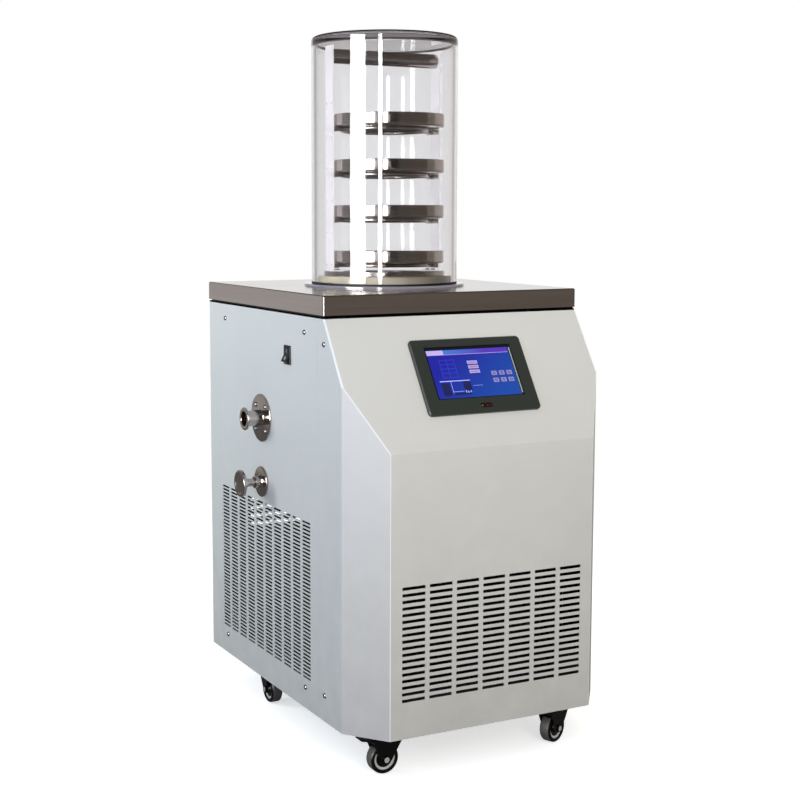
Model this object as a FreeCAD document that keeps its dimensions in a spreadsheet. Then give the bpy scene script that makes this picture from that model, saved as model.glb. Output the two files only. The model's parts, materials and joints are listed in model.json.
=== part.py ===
import FreeCAD, Part
import math
import os
import re

import Sketcher
from FreeCAD import Placement, Rotation, Vector

# Vertical laboratory freeze dryer: a folded sheet-metal cabinet on casters carries a refrigerated cold trap,
# and a clear drum with a tray rack stands over the mouth of the trap.
# Origin: on the floor under the axis of the drum. +X to the right, +Y to the back, +Z up.

# Driving dimensions in millimetres, or in degrees where the name ends in _angle.
SIZES = {
    # cabinet
    "cabinet_width": 482,
    "cabinet_height": 694,
    "floor_gap": 66,
    "cap_depth": 500,
    "cap_lip": 32,
    "cap_gauge": 1.5,
    "cap_bend": 3,
    "cap_hole_radius": 108,
    "lip_gap": 2.5,
    "rear_setback": 3,
    "panel_gauge": 1.5,
    "panel_bend": 3,
    "panel_return": 16,
    "panel_gap": 0.4,
    "seam_back": 21.4,
    "rear_panel_margin": 4,
    # front shell
    "nose_depth": 130,
    "chamfer_width": 51.5,
    "chamfer_length": 66,
    "slope_drop": 203.5,
    "shell_bend": 4,
    # slots
    "side_slot_width": 31.5,
    "side_slot_height": 3.3,
    "side_slot_pitch_y": 39.2,
    "side_slot_pitch_z": 6.42,
    "side_slot_columns": 10,
    "side_slot_rows": 42,
    "side_field_front": 197.5,
    "side_field_low": 52,
    "front_slot_width": 41.4,
    "front_slot_height": 5,
    "front_slot_pitch_x": 49.2,
    "front_slot_pitch_z": 10.6,
    "front_slot_columns": 7,
    "front_slot_rows": 18,
    "front_field_low": 59.5,
    "rear_slot_width": 150,
    "rear_slot_height": 6,
    "rear_slot_pitch_x": 170,
    "rear_slot_pitch_z": 16,
    "rear_slot_columns": 2,
    "rear_slot_rows": 12,
    "rear_field_low": 220,
    # base pan and inner frame
    "pan_gauge": 2,
    "pan_flange": 55,
    "post_leg": 25,
    "post_gauge": 2,
    "post_bend": 4,
    "front_post_y": 226,
    "rail_leg": 24,
    "rail_web": 78,
    "rail_gauge": 2,
    "rail_end_gap": 4,
    # panel screws
    "screw_head_radius": 4.2,
    "screw_head": 2.4,
    "screw_radius": 2,
    "screw_length": 4.6,
    "screw_side_front": 178,
    "screw_side_rear": 165.5,
    "screw_side_high": 631,
    "screw_side_low": 36.5,
    "screw_shell_front": 251.5,
    "screw_shell_high": 617,
    "screw_shell_low": 44,
    "screw_rear_inset": 9,
    "screw_rear_pitch": 260,
    # touch screen
    "bezel_width": 210,
    "bezel_height": 135,
    "bezel_thick": 6,
    "bezel_corner": 7,
    "bezel_down": 50,
    "bezel_edge": 2,
    "window_width": 164,
    "window_height": 94,
    "window_drop": 15,
    "window_sink": 2.2,
    "screen_box_width": 192,
    "screen_box_height": 120,
    "screen_box_depth": 38,
    "screen_box_corner": 4,
    "cutout_clearance": 0.5,
    "indicator_width": 22,
    "indicator_height": 8,
    "indicator_x": 3,
    "indicator_drop": 119,
    "indicator_sink": 1,
    # rocker switch
    "switch_front": 111.5,
    "switch_up": 588,
    "switch_width": 25,
    "switch_height": 32,
    "switch_flange": 2,
    "switch_wall": 1,
    "switch_depth": 24,
    "rocker_radius": 13.6,
    "rocker_clearance": 0.3,
    "rocker_proud": 2.6,
    "rocker_back": 8,
    "rocker_tilt_angle": 13,
    "rocker_pin_radius": 1.5,
    # vacuum port
    "port_up": 468,
    "port_plate_radius": 42,
    "port_plate": 3,
    "port_tube_radius": 14,
    "port_bore_radius": 13,
    "port_reach": 34,
    "port_end_gap": 0.5,
    "port_rim_radius": 20,
    "port_rim": 3,
    "port_slope_angle": 15,
    "port_screw_circle": 30,
    "hole_clearance": 0.2,
    # release valve
    "valve_up": 355,
    "valve_base_radius": 27,
    "valve_base": 4,
    "valve_gland_radius": 10.5,
    "valve_gland": 12,
    "valve_stem_radius": 7,
    "valve_stem_gap": 1,
    "valve_knob_radius": 23.5,
    "valve_knob": 6,
    "valve_knob_edge": 1,
    "valve_hub_radius": 9.5,
    "valve_hub": 8,
    "valve_reach": 44,
    "valve_inside_radius": 11,
    "valve_inside": 30,
    "running_fit": 0.06,
    # cold trap
    "trap_radius": 106,
    "trap_depth": 250,
    "trap_wall": 1.5,
    "trap_rim": 9,
    "trap_fillet": 18,
    "foam_wall": 46,
    "foam_top_gap": 12,
    # drum and its seat
    "seat_radius": 144,
    "seat_thick": 4,
    "seat_chamfer": 1.5,
    "seat_relief": 0.2,
    "gasket_thick": 3,
    "gasket_overlap": 0.5,
    "drum_radius": 130,
    "drum_wall": 8,
    "drum_height": 437,
    "drum_top": 13,
    "drum_round": 15,
    "drum_inner_round": 4,
    "ring_gap": 1,
    "ring_bore": 84,
    "ring_height": 15,
    # tray rack
    "rack_base_radius": 108,
    "rack_base_bore": 70,
    "rack_base": 9,
    "rack_base_edge": 1,
    "upright_offset": 105.5,
    "upright_width": 30,
    "upright_gauge": 2,
    "upright_top": 418,
    "upright_foot": 18,
    "upright_hole_radius": 2.3,
    "upright_hole_spread": 20,
    "upright_hole_pitch": 56,
    "upright_hole_rows": 6,
    "upright_hole_first": 39,
    "handle_radius": 12.5,
    "handle_wall": 1.5,
    "handle_up": 400,
    "tray_radius": 98,
    "tray_forward": 16,
    "tray_height": 22,
    "tray_wall": 1,
    "tray_rim": 1,
    "tray_round": 4,
    "tray_pitch": 79,
    "tray_first": 42,
    "tray_count": 4,
    "shelf_radius": 76,
    "shelf_rod_radius": 3.3,
    "bracket_depth": 10,
    "bracket_drop": 8,
    # refrigeration
    "compressor_radius": 70,
    "compressor_height": 190,
    "compressor_round": 30,
    "compressor_seam": 4,
    "compressor_x": -70,
    "compressor_y": 60,
    "compressor_foot": 170,
    "foot_gauge": 4,
    "mount_radius": 12,
    "mount_height": 18,
    "mount_inset": 16,
    "condenser_width": 260,
    "condenser_height": 200,
    "condenser_depth": 44,
    "condenser_fins": 12,
    "condenser_fin_gauge": 1.5,
    "condenser_end_gauge": 2,
    "condenser_tubes": 4,
    "condenser_front": 322,
    "condenser_lift": 45,
    "shroud_depth": 34,
    "shroud_gauge": 2,
    "shroud_arm": 14,
    "fan_radius": 84,
    "fan_tip_gap": 6,
    "fan_hub_radius": 27,
    "fan_hub": 20,
    "shaft_end_gap": 1,
    "fan_blades": 5,
    "fan_blade_angle": 28,
    "fan_blade_gauge": 2,
    "fan_blade_chord": 40,
    "motor_radius": 30,
    "motor_length": 46,
    "motor_shaft_radius": 4,
    "motor_gap": 3,
    "pipe_radius": 4.8,
    "pipe_bend": 30,
    "pipe_rise": 72,
    "box_x": 170,
    "box_front": 120,
    "box_width": 90,
    "box_height": 180,
    "box_depth": 160,
    "box_round": 3,
    # power inlet
    "inlet_x": -165,
    "inlet_up": 90,
    "inlet_width": 50,
    "inlet_height": 28,
    "inlet_flange": 2.5,
    "inlet_margin": 4,
    "inlet_depth": 26,
    "inlet_wall": 3,
    "inlet_pin_width": 2,
    "inlet_pin_height": 6,
    "inlet_pin_pitch": 14,
    # casters
    "front_caster_x": 160,
    "front_caster_y": -335,
    "rear_caster_x": 200,
    "rear_caster_y": 75,
    "caster_plate_x": 46,
    "caster_plate_y": 60,
    "caster_plate": 2.5,
    "caster_hole_x": 32,
    "caster_hole_y": 46,
    "caster_bolt_radius": 2.5,
    "caster_bolt_head_radius": 4.5,
    "caster_bolt_head": 3,
    "caster_race_radius": 17,
    "caster_race": 4,
    "caster_race_gap": 0.1,
    "kingpin_radius": 4,
    "kingpin_head_radius": 7,
    "kingpin_head": 2,
    "wheel_radius": 25,
    "wheel_width": 20,
    "wheel_tread_round": 4,
    "wheel_recess": 3,
    "wheel_rim": 6,
    "wheel_hub_radius": 9,
    "wheel_trail": 19.5,
    "fork_gap": 1.5,
    "fork_gauge": 2.5,
    "fork_crown": 3,
    "fork_back": 9,
    "fork_reach": 24,
    "fork_foot_radius": 7,
    "hub_gap": 0.2,
    "axle_radius": 3,
    "axle_head_radius": 6,
    "axle_head": 2.5,
    "front_left_trail_angle": 180,
    "front_right_trail_angle": 202,
    "rear_left_trail_angle": -90,
    "rear_right_trail_angle": -110,
    # brake pedals
    "pedal_pin_x": 36,
    "pedal_pin_up": 53,
    "pedal_pin_radius": 2,
    "pedal_boss_radius": 4,
    "pedal_gauge": 2.5,
    "pedal_reach": 26,
    "pedal_rise": 7.5,
    "pedal_side_gap": 0.4,
    "brake_shoe_near": 1,
    "brake_shoe_near_drop": 7.4,
    "brake_shoe_far": 5,
    "brake_shoe_far_drop": 5,
    # how far a cut runs past a sheet, and past a whole piece
    "sheet_cut": 6,
    "far_cut": 320,
}

# Lengths and angles that follow from the driving dimensions.
DERIVED = {
    "half_width": "(cabinet_width / 2)",
    "cap_top": "(floor_gap + cabinet_height)",
    "lip_low": "(cap_top - cap_lip)",
    "panel_top": "(lip_low - lip_gap)",
    "cap_under": "(cap_top - cap_gauge)",
    "cap_front": "(-cap_depth / 2)",
    "face_top_y": "(cap_front + cap_gauge)",
    "seam_y": "(cap_front + seam_back)",
    "rear_y": "(cap_depth / 2 - rear_setback)",
    "nose_y": "(cap_front - nose_depth)",
    "kink_y": "(nose_y + chamfer_length)",
    "nose_half": "(half_width - chamfer_width)",
    "corner_angle": "atan(chamfer_width / chamfer_length)",
    "slope_angle": "atan((nose_depth + cap_gauge) / slope_drop)",
    "inside": "(half_width - panel_gauge)",
    "pan_inside": "(inside - pan_gauge)",
    "pan_floor": "(floor_gap + pan_gauge)",
    "pan_rear": "(rear_y - panel_gauge)",
    "rail_low": "(cap_under - rail_web)",
    "front_post_face": "(-front_post_y)",
    "rear_post_face": "(pan_rear - pan_gauge)",
    "body_half_z": "(rocker_radius + rocker_clearance + switch_wall)",
    "well_half_y": "(switch_width / 2 - 2 * switch_wall)",
    "trap_outer": "(trap_radius + trap_wall)",
    "trap_floor": "(cap_top - trap_depth)",
    "foam_radius": "(trap_outer + foam_wall)",
    "rim_radius": "(trap_outer + trap_rim)",
    "seat_top": "(cap_top + seat_thick)",
    "gasket_top": "(seat_top + gasket_thick)",
    "drum_top_z": "(cap_top + drum_height)",
    "drum_bore": "(drum_radius - drum_wall)",
    "ring_top": "(seat_top + ring_height)",
    "rack_floor": "(ring_top + rack_base)",
    "race_low": "(floor_gap - caster_plate - caster_race)",
    "crown_top": "(race_low - caster_race_gap)",
    "crown_low": "(crown_top - fork_crown)",
    "fork_inner": "(wheel_width / 2 + fork_gap)",
    "fork_outer": "(fork_inner + fork_gauge)",
    "condenser_back": "(condenser_depth - condenser_front)",
    "condenser_low": "(pan_floor + condenser_lift)",
    "condenser_top": "(condenser_low + condenser_height)",
    "fan_z": "(condenser_low + condenser_height / 2)",
    "shroud_back": "(condenser_back + shroud_depth)",
    "motor_front": "(shroud_back - motor_gap)",
    "compressor_low": "(pan_floor + mount_height)",
    "compressor_top": "(compressor_low + foot_gauge + compressor_height)",
    "knob_low": "(valve_reach - valve_knob)",
}

WORD = re.compile(r"[a-z][a-z0-9_]*")
SMALLEST_CHANGE = 1e-3
NEAR = 1e-3

doc = FreeCAD.newDocument("freeze_dryer")
sheet = doc.addObject("Spreadsheet::Sheet", "sizes")
for row, (alias, size) in enumerate(SIZES.items(), start=1):
    sheet.set(f"A{row}", alias)
    sheet.set(f"B{row}", str(size))
    sheet.setAlias(f"B{row}", alias)
doc.recompute()

pieces = []


# ---------------------------------------------------------------- expressions and sketches

def bound(text):
    """The text as an expression on the sheet, with every derived length written out."""
    def cell(match):
        word = match.group()
        if word in DERIVED:
            return bound(DERIVED[word])
        return f"sizes.{word}" if word in SIZES else word
    return WORD.sub(cell, str(text))


def value(text):
    """The present number behind an expression."""
    result = sheet.evalExpression(bound(text))
    return float(getattr(result, "Value", result))


def fix_point(sketch, geometry, end, x, y):
    """Ties one point of a sketch to the sheet, measured from the sketch's origin."""
    for kind, text in (("DistanceX", x), ("DistanceY", y)):
        number = sketch.addConstraint(Sketcher.Constraint(kind, -1, 1, geometry, end, value(text)))
        sketch.setExpression(f"Constraints[{number}]", bound(text))


def outline(sketch, points):
    """A closed polygon whose corners are pairs of expressions."""
    first = sketch.GeometryCount
    count = len(points)
    spots = [Vector(value(x), value(y), 0) for x, y in points]
    for i in range(count):
        sketch.addGeometry(Part.LineSegment(spots[i], spots[(i + 1) % count]), False)
    for i in range(count):
        sketch.addConstraint(Sketcher.Constraint("Coincident", first + i, 2, first + (i + 1) % count, 1))
    for i, (x, y) in enumerate(points):
        fix_point(sketch, first + i, 1, x, y)
    return sketch


def rectangle(sketch, left, low, right, high):
    return outline(sketch, [(left, low), (right, low), (right, high), (left, high)])


def circle(sketch, x, y, radius):
    spot = Vector(value(x), value(y), 0)
    item = sketch.addGeometry(Part.Circle(spot, Vector(0, 0, 1), value(radius)), False)
    fix_point(sketch, item, 3, x, y)
    number = sketch.addConstraint(Sketcher.Constraint("Radius", item, value(radius)))
    sketch.setExpression(f"Constraints[{number}]", bound(radius))
    return sketch


def circles(sketch, spots, radius):
    for x, y in spots:
        circle(sketch, x, y, radius)
    return sketch


# ---------------------------------------------------------------- bodies

class Body:
    """A PartDesign body with a short call for each kind of feature."""

    def __init__(self, name, kept=True):
        self.item = doc.addObject("PartDesign::Body", name)
        self.item.AllowCompound = True
        self.item.Label = name
        if kept:
            pieces.append(self.item)

    def sketch(self, role, lift=0):
        sketch = self.item.newObject("Sketcher::SketchObject", self.item.Name + "_sketch")
        plane = next(f for f in self.item.Origin.OriginFeatures if f.Role == role)
        sketch.AttachmentSupport = [(plane, "")]
        sketch.MapMode = "FlatFace"
        sketch.setExpression("AttachmentOffset.Base.z", bound(lift))
        return sketch

    def feature(self, kind, sketch, adds, bindings, **settings):
        """One sketched feature, which has to add or remove material as it says."""
        before = 0.0 if self.item.Shape.isNull() else self.item.Shape.Volume
        feature = self.item.newObject("PartDesign::" + kind, f"{self.item.Name}_{kind.lower()}")
        feature.Profile = sketch
        for key, setting in settings.items():
            setattr(feature, key, setting)
        for key, text in bindings.items():
            feature.setExpression(key, bound(text))
        doc.recompute()
        change = self.item.Shape.Volume - before
        if abs(change) < SMALLEST_CHANGE or (change > 0) != adds:
            raise RuntimeError(f"{feature.Name} changed the volume by {change}")
        return feature

    def pad(self, sketch, length, side="One side", reverse=False):
        return self.feature("Pad", sketch, True, {"Length": length}, SideType=side, Reversed=reverse)

    def pocket(self, sketch, length, side="One side", reverse=False):
        return self.feature("Pocket", sketch, False, {"Length": length}, SideType=side, Reversed=reverse)

    def pocket_through(self, sketch):
        return self.feature("Pocket", sketch, False, {}, SideType="Symmetric", Type="ThroughAll")

    def revolve(self, sketch):
        return self.feature("Revolution", sketch, True, {"Angle": 360}, ReferenceAxis=(sketch, ["V_Axis"]))

    def dress(self, kind, test, size):
        """A fillet or chamfer on the edges of the latest feature that pass the test."""
        base = self.item.Tip
        names = [f"Edge{i}" for i, edge in enumerate(base.Shape.Edges, start=1) if test(edge)]
        if not names:
            raise RuntimeError(f"{self.item.Name} has no edge for its {kind.lower()}")
        feature = self.item.newObject("PartDesign::" + kind, f"{self.item.Name}_{kind.lower()}")
        feature.Base = (base, names)
        feature.setExpression("Radius" if kind == "Fillet" else "Size", bound(size))
        doc.recompute()

    def fillet(self, test, size):
        self.dress("Fillet", test, size)

    def chamfer(self, test, size):
        self.dress("Chamfer", test, size)

    def rows(self, feature, sketch, pitch, count, axis="V_Axis"):
        """Repeats a feature along an axis of its sketch."""
        pattern = self.item.newObject("PartDesign::LinearPattern", self.item.Name + "_rows")
        pattern.Originals = [feature]
        pattern.Direction = (sketch, [axis])
        pattern.setExpression("Length", bound(f"{pitch} * ({count} - 1)"))
        pattern.setExpression("Occurrences", bound(count))
        self.item.Tip = pattern
        doc.recompute()

    def round_about(self, feature, sketch, count):
        """Repeats a feature round the normal of a sketch."""
        pattern = self.item.newObject("PartDesign::PolarPattern", self.item.Name + "_polar")
        pattern.Originals = [feature]
        pattern.Axis = (sketch, ["N_Axis"])
        pattern.Angle = 360
        pattern.setExpression("Occurrences", bound(count))
        self.item.Tip = pattern
        doc.recompute()

    def cut(self, *tools):
        """Takes other bodies away from this one."""
        boolean = self.item.newObject("PartDesign::Boolean", self.item.Name + "_cut")
        boolean.Type = "Cut"
        boolean.setObjects([tool.item for tool in tools])
        doc.recompute()

    def place(self, x=0, y=0, z=0, axis=None, angle=0):
        if axis:
            self.item.Placement = Placement(Vector(), Rotation(axis, value(angle)))
            self.item.setExpression("Placement.Rotation.Angle", bound(angle))
        self.item.setExpression("Placement.Base.x", bound(x))
        self.item.setExpression("Placement.Base.y", bound(y))
        self.item.setExpression("Placement.Base.z", bound(z))
        return self


AXIS_X = Vector(1, 0, 0)
AXIS_Y = Vector(0, 1, 0)
AXIS_Z = Vector(0, 0, 1)


def turned(name, points):
    """A body of revolution round Z from a closed outline of (radius, height) pairs."""
    body = Body(name)
    body.revolve(outline(body.sketch("XZ_Plane"), points))
    return body


def near(number, text):
    return abs(number - value(text)) < NEAR


def ends(edge):
    return [vertex.Point for vertex in edge.Vertexes]


def ring_at(radius, height):
    """A test for the circular edge of that radius at that height."""
    def test(edge):
        curve = edge.Curve
        return isinstance(curve, Part.Circle) and near(curve.Radius, radius) and near(curve.Center.z, height)
    return test


def upright(edge):
    """True for an edge that runs straight up."""
    points = ends(edge)
    if len(points) != 2:
        return False
    run = points[1] - points[0]
    return abs(run.z) > NEAR and math.hypot(run.x, run.y) < NEAR


def corner_at(x, y):
    """A test for the upright edge over that point of the plan."""
    def test(edge):
        return upright(edge) and near(ends(edge)[0].x, x) and near(ends(edge)[0].y, y)
    return test


def level_at(height):
    """A test for edges that lie wholly at that height."""
    def test(edge):
        return all(near(point.z, height) for point in ends(edge))
    return test


# ---------------------------------------------------------------- cabinet

def plan(inset, back):
    """The cabinet seen from above, from a back edge forwards, with its walls moved inwards."""
    side = f"(half_width - {inset})"
    kink = f"kink_y + {inset} * tan(corner_angle / 2)"
    nose = f"(nose_half - {inset} * tan(45 deg - corner_angle / 2))"
    front = f"nose_y + {inset}"
    return [(f"-{side}", back), (f"-{side}", kink), (f"-{nose}", front),
            (nose, front), (side, kink), (side, back)]


def above_slope(inset):
    """The wedge over the sloped face, seen from the side, with the face moved inwards."""
    crease = f"face_top_y + {inset}"
    crease_z = f"panel_top - {inset} * tan(slope_angle / 2)"
    high = "panel_top + far_cut"
    far = f"{crease} - far_cut * tan(slope_angle)"
    far_z = f"{crease_z} - far_cut"
    return [(crease, crease_z), (crease, high), (far, high), (far, far_z)]


def plan_block(name, inset, low, high, back, bend, slope, kept=True):
    """A closed block on the cabinet's plan, with bent corners and the sloped face where it is asked for."""
    body = Body(name, kept)
    body.pad(outline(body.sketch("XY_Plane", low), plan(inset, back)), f"({high}) - ({low})")
    if slope:
        body.pocket_through(outline(body.sketch("YZ_Plane"), above_slope(inset)))
    limit = value(f"panel_top - {inset} * tan(slope_angle / 2)") - NEAR if slope else value(high) + NEAR

    def bent(edge):
        points = ends(edge)
        spans = max(p.z for p in points) - min(p.z for p in points) > NEAR
        crease = not spans and slope and not near(points[0].z, low)
        at_back = all(near(p.y, back) for p in points)
        return (spans or crease) and not at_back and min(p.z for p in points) < limit

    body.fillet(bent, bend)
    return body


def slots(body, role, lift, left, low, width, height, pitch, count, row_pitch, rows, reverse=False):
    """A field of slots: one row is cut and repeated upwards."""
    row = body.sketch(role, lift)
    for i in range(round(value(count))):
        start = f"{left} + {i} * {pitch}"
        rectangle(row, start, low, f"{start} + {width}", f"{low} + {height}")
    cut = body.pocket(row, "sheet_cut", reverse=reverse)
    body.rows(cut, row, row_pitch, rows)


def slope_place(body):
    """Lays a body flat on the sloped face, its origin at the middle of the top edge of the face."""
    return body.place(0, "face_top_y", "panel_top", AXIS_X, "90 deg - slope_angle")


def slope_box(name, width, top, bottom, low, high, kept=True):
    """A box on the sloped face: top and bottom run down the slope, low and high out of it."""
    body = Body(name, kept)
    half = f"(({width}) / 2)"
    sketch = rectangle(body.sketch("XY_Plane", low), f"-{half}", f"-({bottom})", half, f"-({top})")
    body.pad(sketch, f"({high}) - ({low})")
    return slope_place(body)


def screen_box_span(grow):
    middle = "(bezel_down + bezel_height / 2)"
    half = f"(screen_box_height / 2 + {grow})"
    return f"{middle} - {half}", f"{middle} + {half}"


def front_shell():
    body = plan_block("front_shell", "0", "floor_gap", "panel_top", "seam_y", "shell_bend", slope=True)
    hollow = plan_block("front_shell_hollow", "panel_gauge", "floor_gap - sheet_cut", "lip_low + cap_lip",
                        "seam_y + sheet_cut", "shell_bend - panel_gauge", slope=True, kept=False)
    top, bottom = screen_box_span("cutout_clearance")
    hole = slope_box("screen_hole", "screen_box_width + 2 * cutout_clearance", top, bottom,
                     "-screen_box_depth", "bezel_thick", kept=False)
    body.cut(hollow, hole)
    strip = body.sketch("XY_Plane", "panel_top - panel_gauge")
    strip_half = "(half_width - cap_gauge - rail_gauge - panel_gap)"
    rectangle(strip, f"-{strip_half}", "face_top_y", strip_half, "face_top_y + panel_gauge")
    body.pad(strip, "cap_under - panel_top + panel_gauge")
    slots(body, "XZ_Plane", "-nose_y",
          "-(front_slot_pitch_x * (front_slot_columns - 1) + front_slot_width) / 2",
          "floor_gap + front_field_low", "front_slot_width", "front_slot_height",
          "front_slot_pitch_x", "front_slot_columns",
          "front_slot_pitch_z", "front_slot_rows")
    holes = circles(body.sketch("YZ_Plane"), SHELL_SCREWS, "screw_radius")
    body.pocket_through(holes)


SHELL_SCREWS = [("-screw_shell_front", "floor_gap + screw_shell_high"),
                ("-screw_shell_front", "floor_gap + screw_shell_low")]
SIDE_SCREWS = [(y, f"floor_gap + {z}")
               for y in ("-screw_side_front", "screw_side_rear")
               for z in ("screw_side_high", "screw_side_low")]


def rear_screws(side):
    low = "floor_gap + screw_side_low + pan_flange"
    x = f"{side} * (half_width - screw_rear_inset)"
    return [(x, f"{low} + {i} * screw_rear_pitch") for i in range(3)]


REAR_SCREWS = rear_screws(-1) + rear_screws(1)


def side_panel(name, side):
    """A flat side with a return at the back. The left side is -1 and the right side 1."""
    body = Body(name)
    outer = f"{side} * half_width"
    inner = f"{side} * inside"
    edge = f"{side} * (half_width - panel_return)"
    front = "seam_y + panel_gap"
    sketch = outline(body.sketch("XY_Plane", "floor_gap"),
                     [(outer, front), (outer, "rear_y"), (edge, "rear_y"), (edge, "pan_rear"),
                      (inner, "pan_rear"), (inner, front)])
    body.pad(sketch, "panel_top - floor_gap")
    body.fillet(corner_at(outer, "rear_y"), "panel_bend")
    body.fillet(corner_at(inner, "pan_rear"), "panel_bend - panel_gauge")
    body.pocket_through(circles(body.sketch("YZ_Plane"), SIDE_SCREWS, "screw_radius"))
    body.pocket(circles(body.sketch("XZ_Plane", "-rear_y"), rear_screws(side), "screw_radius"), "sheet_cut",
                side="Symmetric")
    return body


def left_side_panel():
    body = side_panel("left_side_panel", -1)
    openings = body.sketch("YZ_Plane", "-half_width")
    circle(openings, 0, "floor_gap + port_up", "port_tube_radius + hole_clearance")
    circle(openings, 0, "floor_gap + valve_up", "valve_inside_radius + hole_clearance")
    rectangle(openings, "-switch_front - well_half_y - switch_wall", "floor_gap + switch_up - body_half_z",
              "-switch_front + well_half_y + switch_wall", "floor_gap + switch_up + body_half_z")
    port_corner = "port_screw_circle * cos(45 deg)"
    circles(openings, [(f"{y} * {port_corner}", f"floor_gap + port_up + {z} * {port_corner}")
                       for y in (-1, 1) for z in (-1, 1)], "screw_radius")
    body.pocket(openings, "sheet_cut", reverse=True)
    slots(body, "YZ_Plane", "-half_width", "-side_field_front", "floor_gap + side_field_low",
          "side_slot_width", "side_slot_height", "side_slot_pitch_y", "side_slot_columns",
          "side_slot_pitch_z", "side_slot_rows", reverse=True)


def rear_panel():
    body = Body("rear_panel")
    half = "(half_width - rear_panel_margin)"
    sheet_face = rectangle(body.sketch("XZ_Plane", "-rear_y"), f"-{half}", "floor_gap", half, "panel_top")
    body.pad(sheet_face, "panel_gauge", reverse=True)
    opening = body.sketch("XZ_Plane", "-rear_y")
    rectangle(opening, "inlet_x - inlet_width / 2", "floor_gap + inlet_up - inlet_height / 2",
              "inlet_x + inlet_width / 2", "floor_gap + inlet_up + inlet_height / 2")
    circles(opening, REAR_SCREWS, "screw_radius")
    body.pocket(opening, "sheet_cut", side="Symmetric")
    row = body.sketch("XZ_Plane", "-rear_y")
    left = "-((rear_slot_columns - 1) * rear_slot_pitch_x + rear_slot_width) / 2"
    for i in range(round(value("rear_slot_columns"))):
        start = f"{left} + {i} * rear_slot_pitch_x"
        rectangle(row, start, "floor_gap + rear_field_low", f"{start} + rear_slot_width",
                  "floor_gap + rear_field_low + rear_slot_height")
    cut = body.pocket(row, "sheet_cut", side="Symmetric")
    body.rows(cut, row, "rear_slot_pitch_z", "rear_slot_rows")


def top_cap():
    body = Body("top_cap")
    half_depth = "cap_depth / 2"
    outer = body.sketch("XY_Plane", "lip_low")
    rectangle(outer, "-half_width", f"-{half_depth}", "half_width", half_depth)
    body.pad(outer, "cap_lip")
    body.fillet(lambda e: not level_at("lip_low")(e), "cap_bend")
    x = "(half_width - cap_gauge)"
    y = "(cap_depth / 2 - cap_gauge)"
    inner = rectangle(body.sketch("XY_Plane", "lip_low"), f"-{x}", f"-{y}", x, y)
    body.pocket(inner, "cap_lip - cap_gauge", reverse=True)
    body.pocket_through(circle(body.sketch("XY_Plane", "cap_top"), 0, 0, "cap_hole_radius"))


def base_pan():
    body = plan_block("base_pan", "panel_gauge", "floor_gap", "floor_gap + pan_flange", "pan_rear",
                      "shell_bend - panel_gauge", slope=False)
    body.fillet(lambda e: upright(e) and near(ends(e)[0].y, "pan_rear"), "panel_bend")
    hollow = plan_block("base_pan_hollow", "(panel_gauge + pan_gauge)", "pan_floor",
                        "panel_top", "rear_post_face", "shell_bend - panel_gauge", slope=False, kept=False)
    body.cut(hollow)
    low_screws = [(y, z) for y, z in SHELL_SCREWS + SIDE_SCREWS if z.endswith("_low")]
    body.pocket_through(circles(body.sketch("YZ_Plane"), low_screws, "screw_radius"))
    body.pocket_through(circles(body.sketch("XY_Plane", "floor_gap"), CASTER_HOLES, "caster_bolt_radius"))


def frame_posts():
    """Four angle posts between the pan and the top rails."""
    body = Body("frame_posts")
    sketch = body.sketch("XY_Plane", "pan_floor")
    for side in (-1, 1):
        for y, way in (("front_post_face", 1), ("rear_post_face", -1)):
            x = f"{side} * pan_inside"
            tip_x = f"{side} * (pan_inside - post_leg)"
            inner_x = f"{side} * (pan_inside - post_gauge)"
            outline(sketch, [(x, y), (tip_x, y), (tip_x, f"{y} + {way} * post_gauge"),
                             (inner_x, f"{y} + {way} * post_gauge"), (inner_x, f"{y} + {way} * post_leg"),
                             (x, f"{y} + {way} * post_leg")])
    body.pad(sketch, "cap_under - rail_gauge - pan_floor")
    corners = []
    for x in ("pan_inside", "-pan_inside"):
        corners += [corner_at(x, y) for y in ("front_post_face", "rear_post_face")]
    body.fillet(lambda e: any(test(e) for test in corners), "post_bend")


def top_rails():
    """Two angles under the sides of the cap."""
    body = Body("top_rails")
    sketch = body.sketch("XZ_Plane", "-(rear_y - panel_return - rail_end_gap)")
    for side in (-1, 1):
        outer = f"{side} * inside"
        web = f"{side} * (inside - rail_gauge)"
        leg = f"{side} * (inside - rail_leg)"
        outline(sketch, [(outer, "rail_low"), (outer, "cap_under"), (leg, "cap_under"),
                         (leg, "cap_under - rail_gauge"), (web, "cap_under - rail_gauge"), (web, "rail_low")])
    body.pad(sketch, "rear_y - panel_return - rail_end_gap - face_top_y - panel_gauge - shell_bend")
    high_screws = [(y, z) for y, z in SIDE_SCREWS if z.endswith("_high")]
    body.pocket_through(circles(body.sketch("YZ_Plane"), high_screws, "screw_radius"))


def panel_screws():
    """Pan-head screws of the sides and the back."""
    body = Body("panel_screws")
    spots = SIDE_SCREWS + SHELL_SCREWS
    for role, lift, places, reverse in (("YZ_Plane", "-half_width", spots, True),
                                        ("YZ_Plane", "half_width", spots, False),
                                        ("XZ_Plane", "-(rear_y + panel_gauge)", REAR_SCREWS, True)):
        heads = circles(body.sketch(role, lift), places, "screw_head_radius")
        body.pad(heads, "screw_head", reverse=reverse)
        shanks = circles(body.sketch(role, lift), places, "screw_radius")
        body.pad(shanks, "screw_length", reverse=not reverse)


# ---------------------------------------------------------------- touch screen

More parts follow.
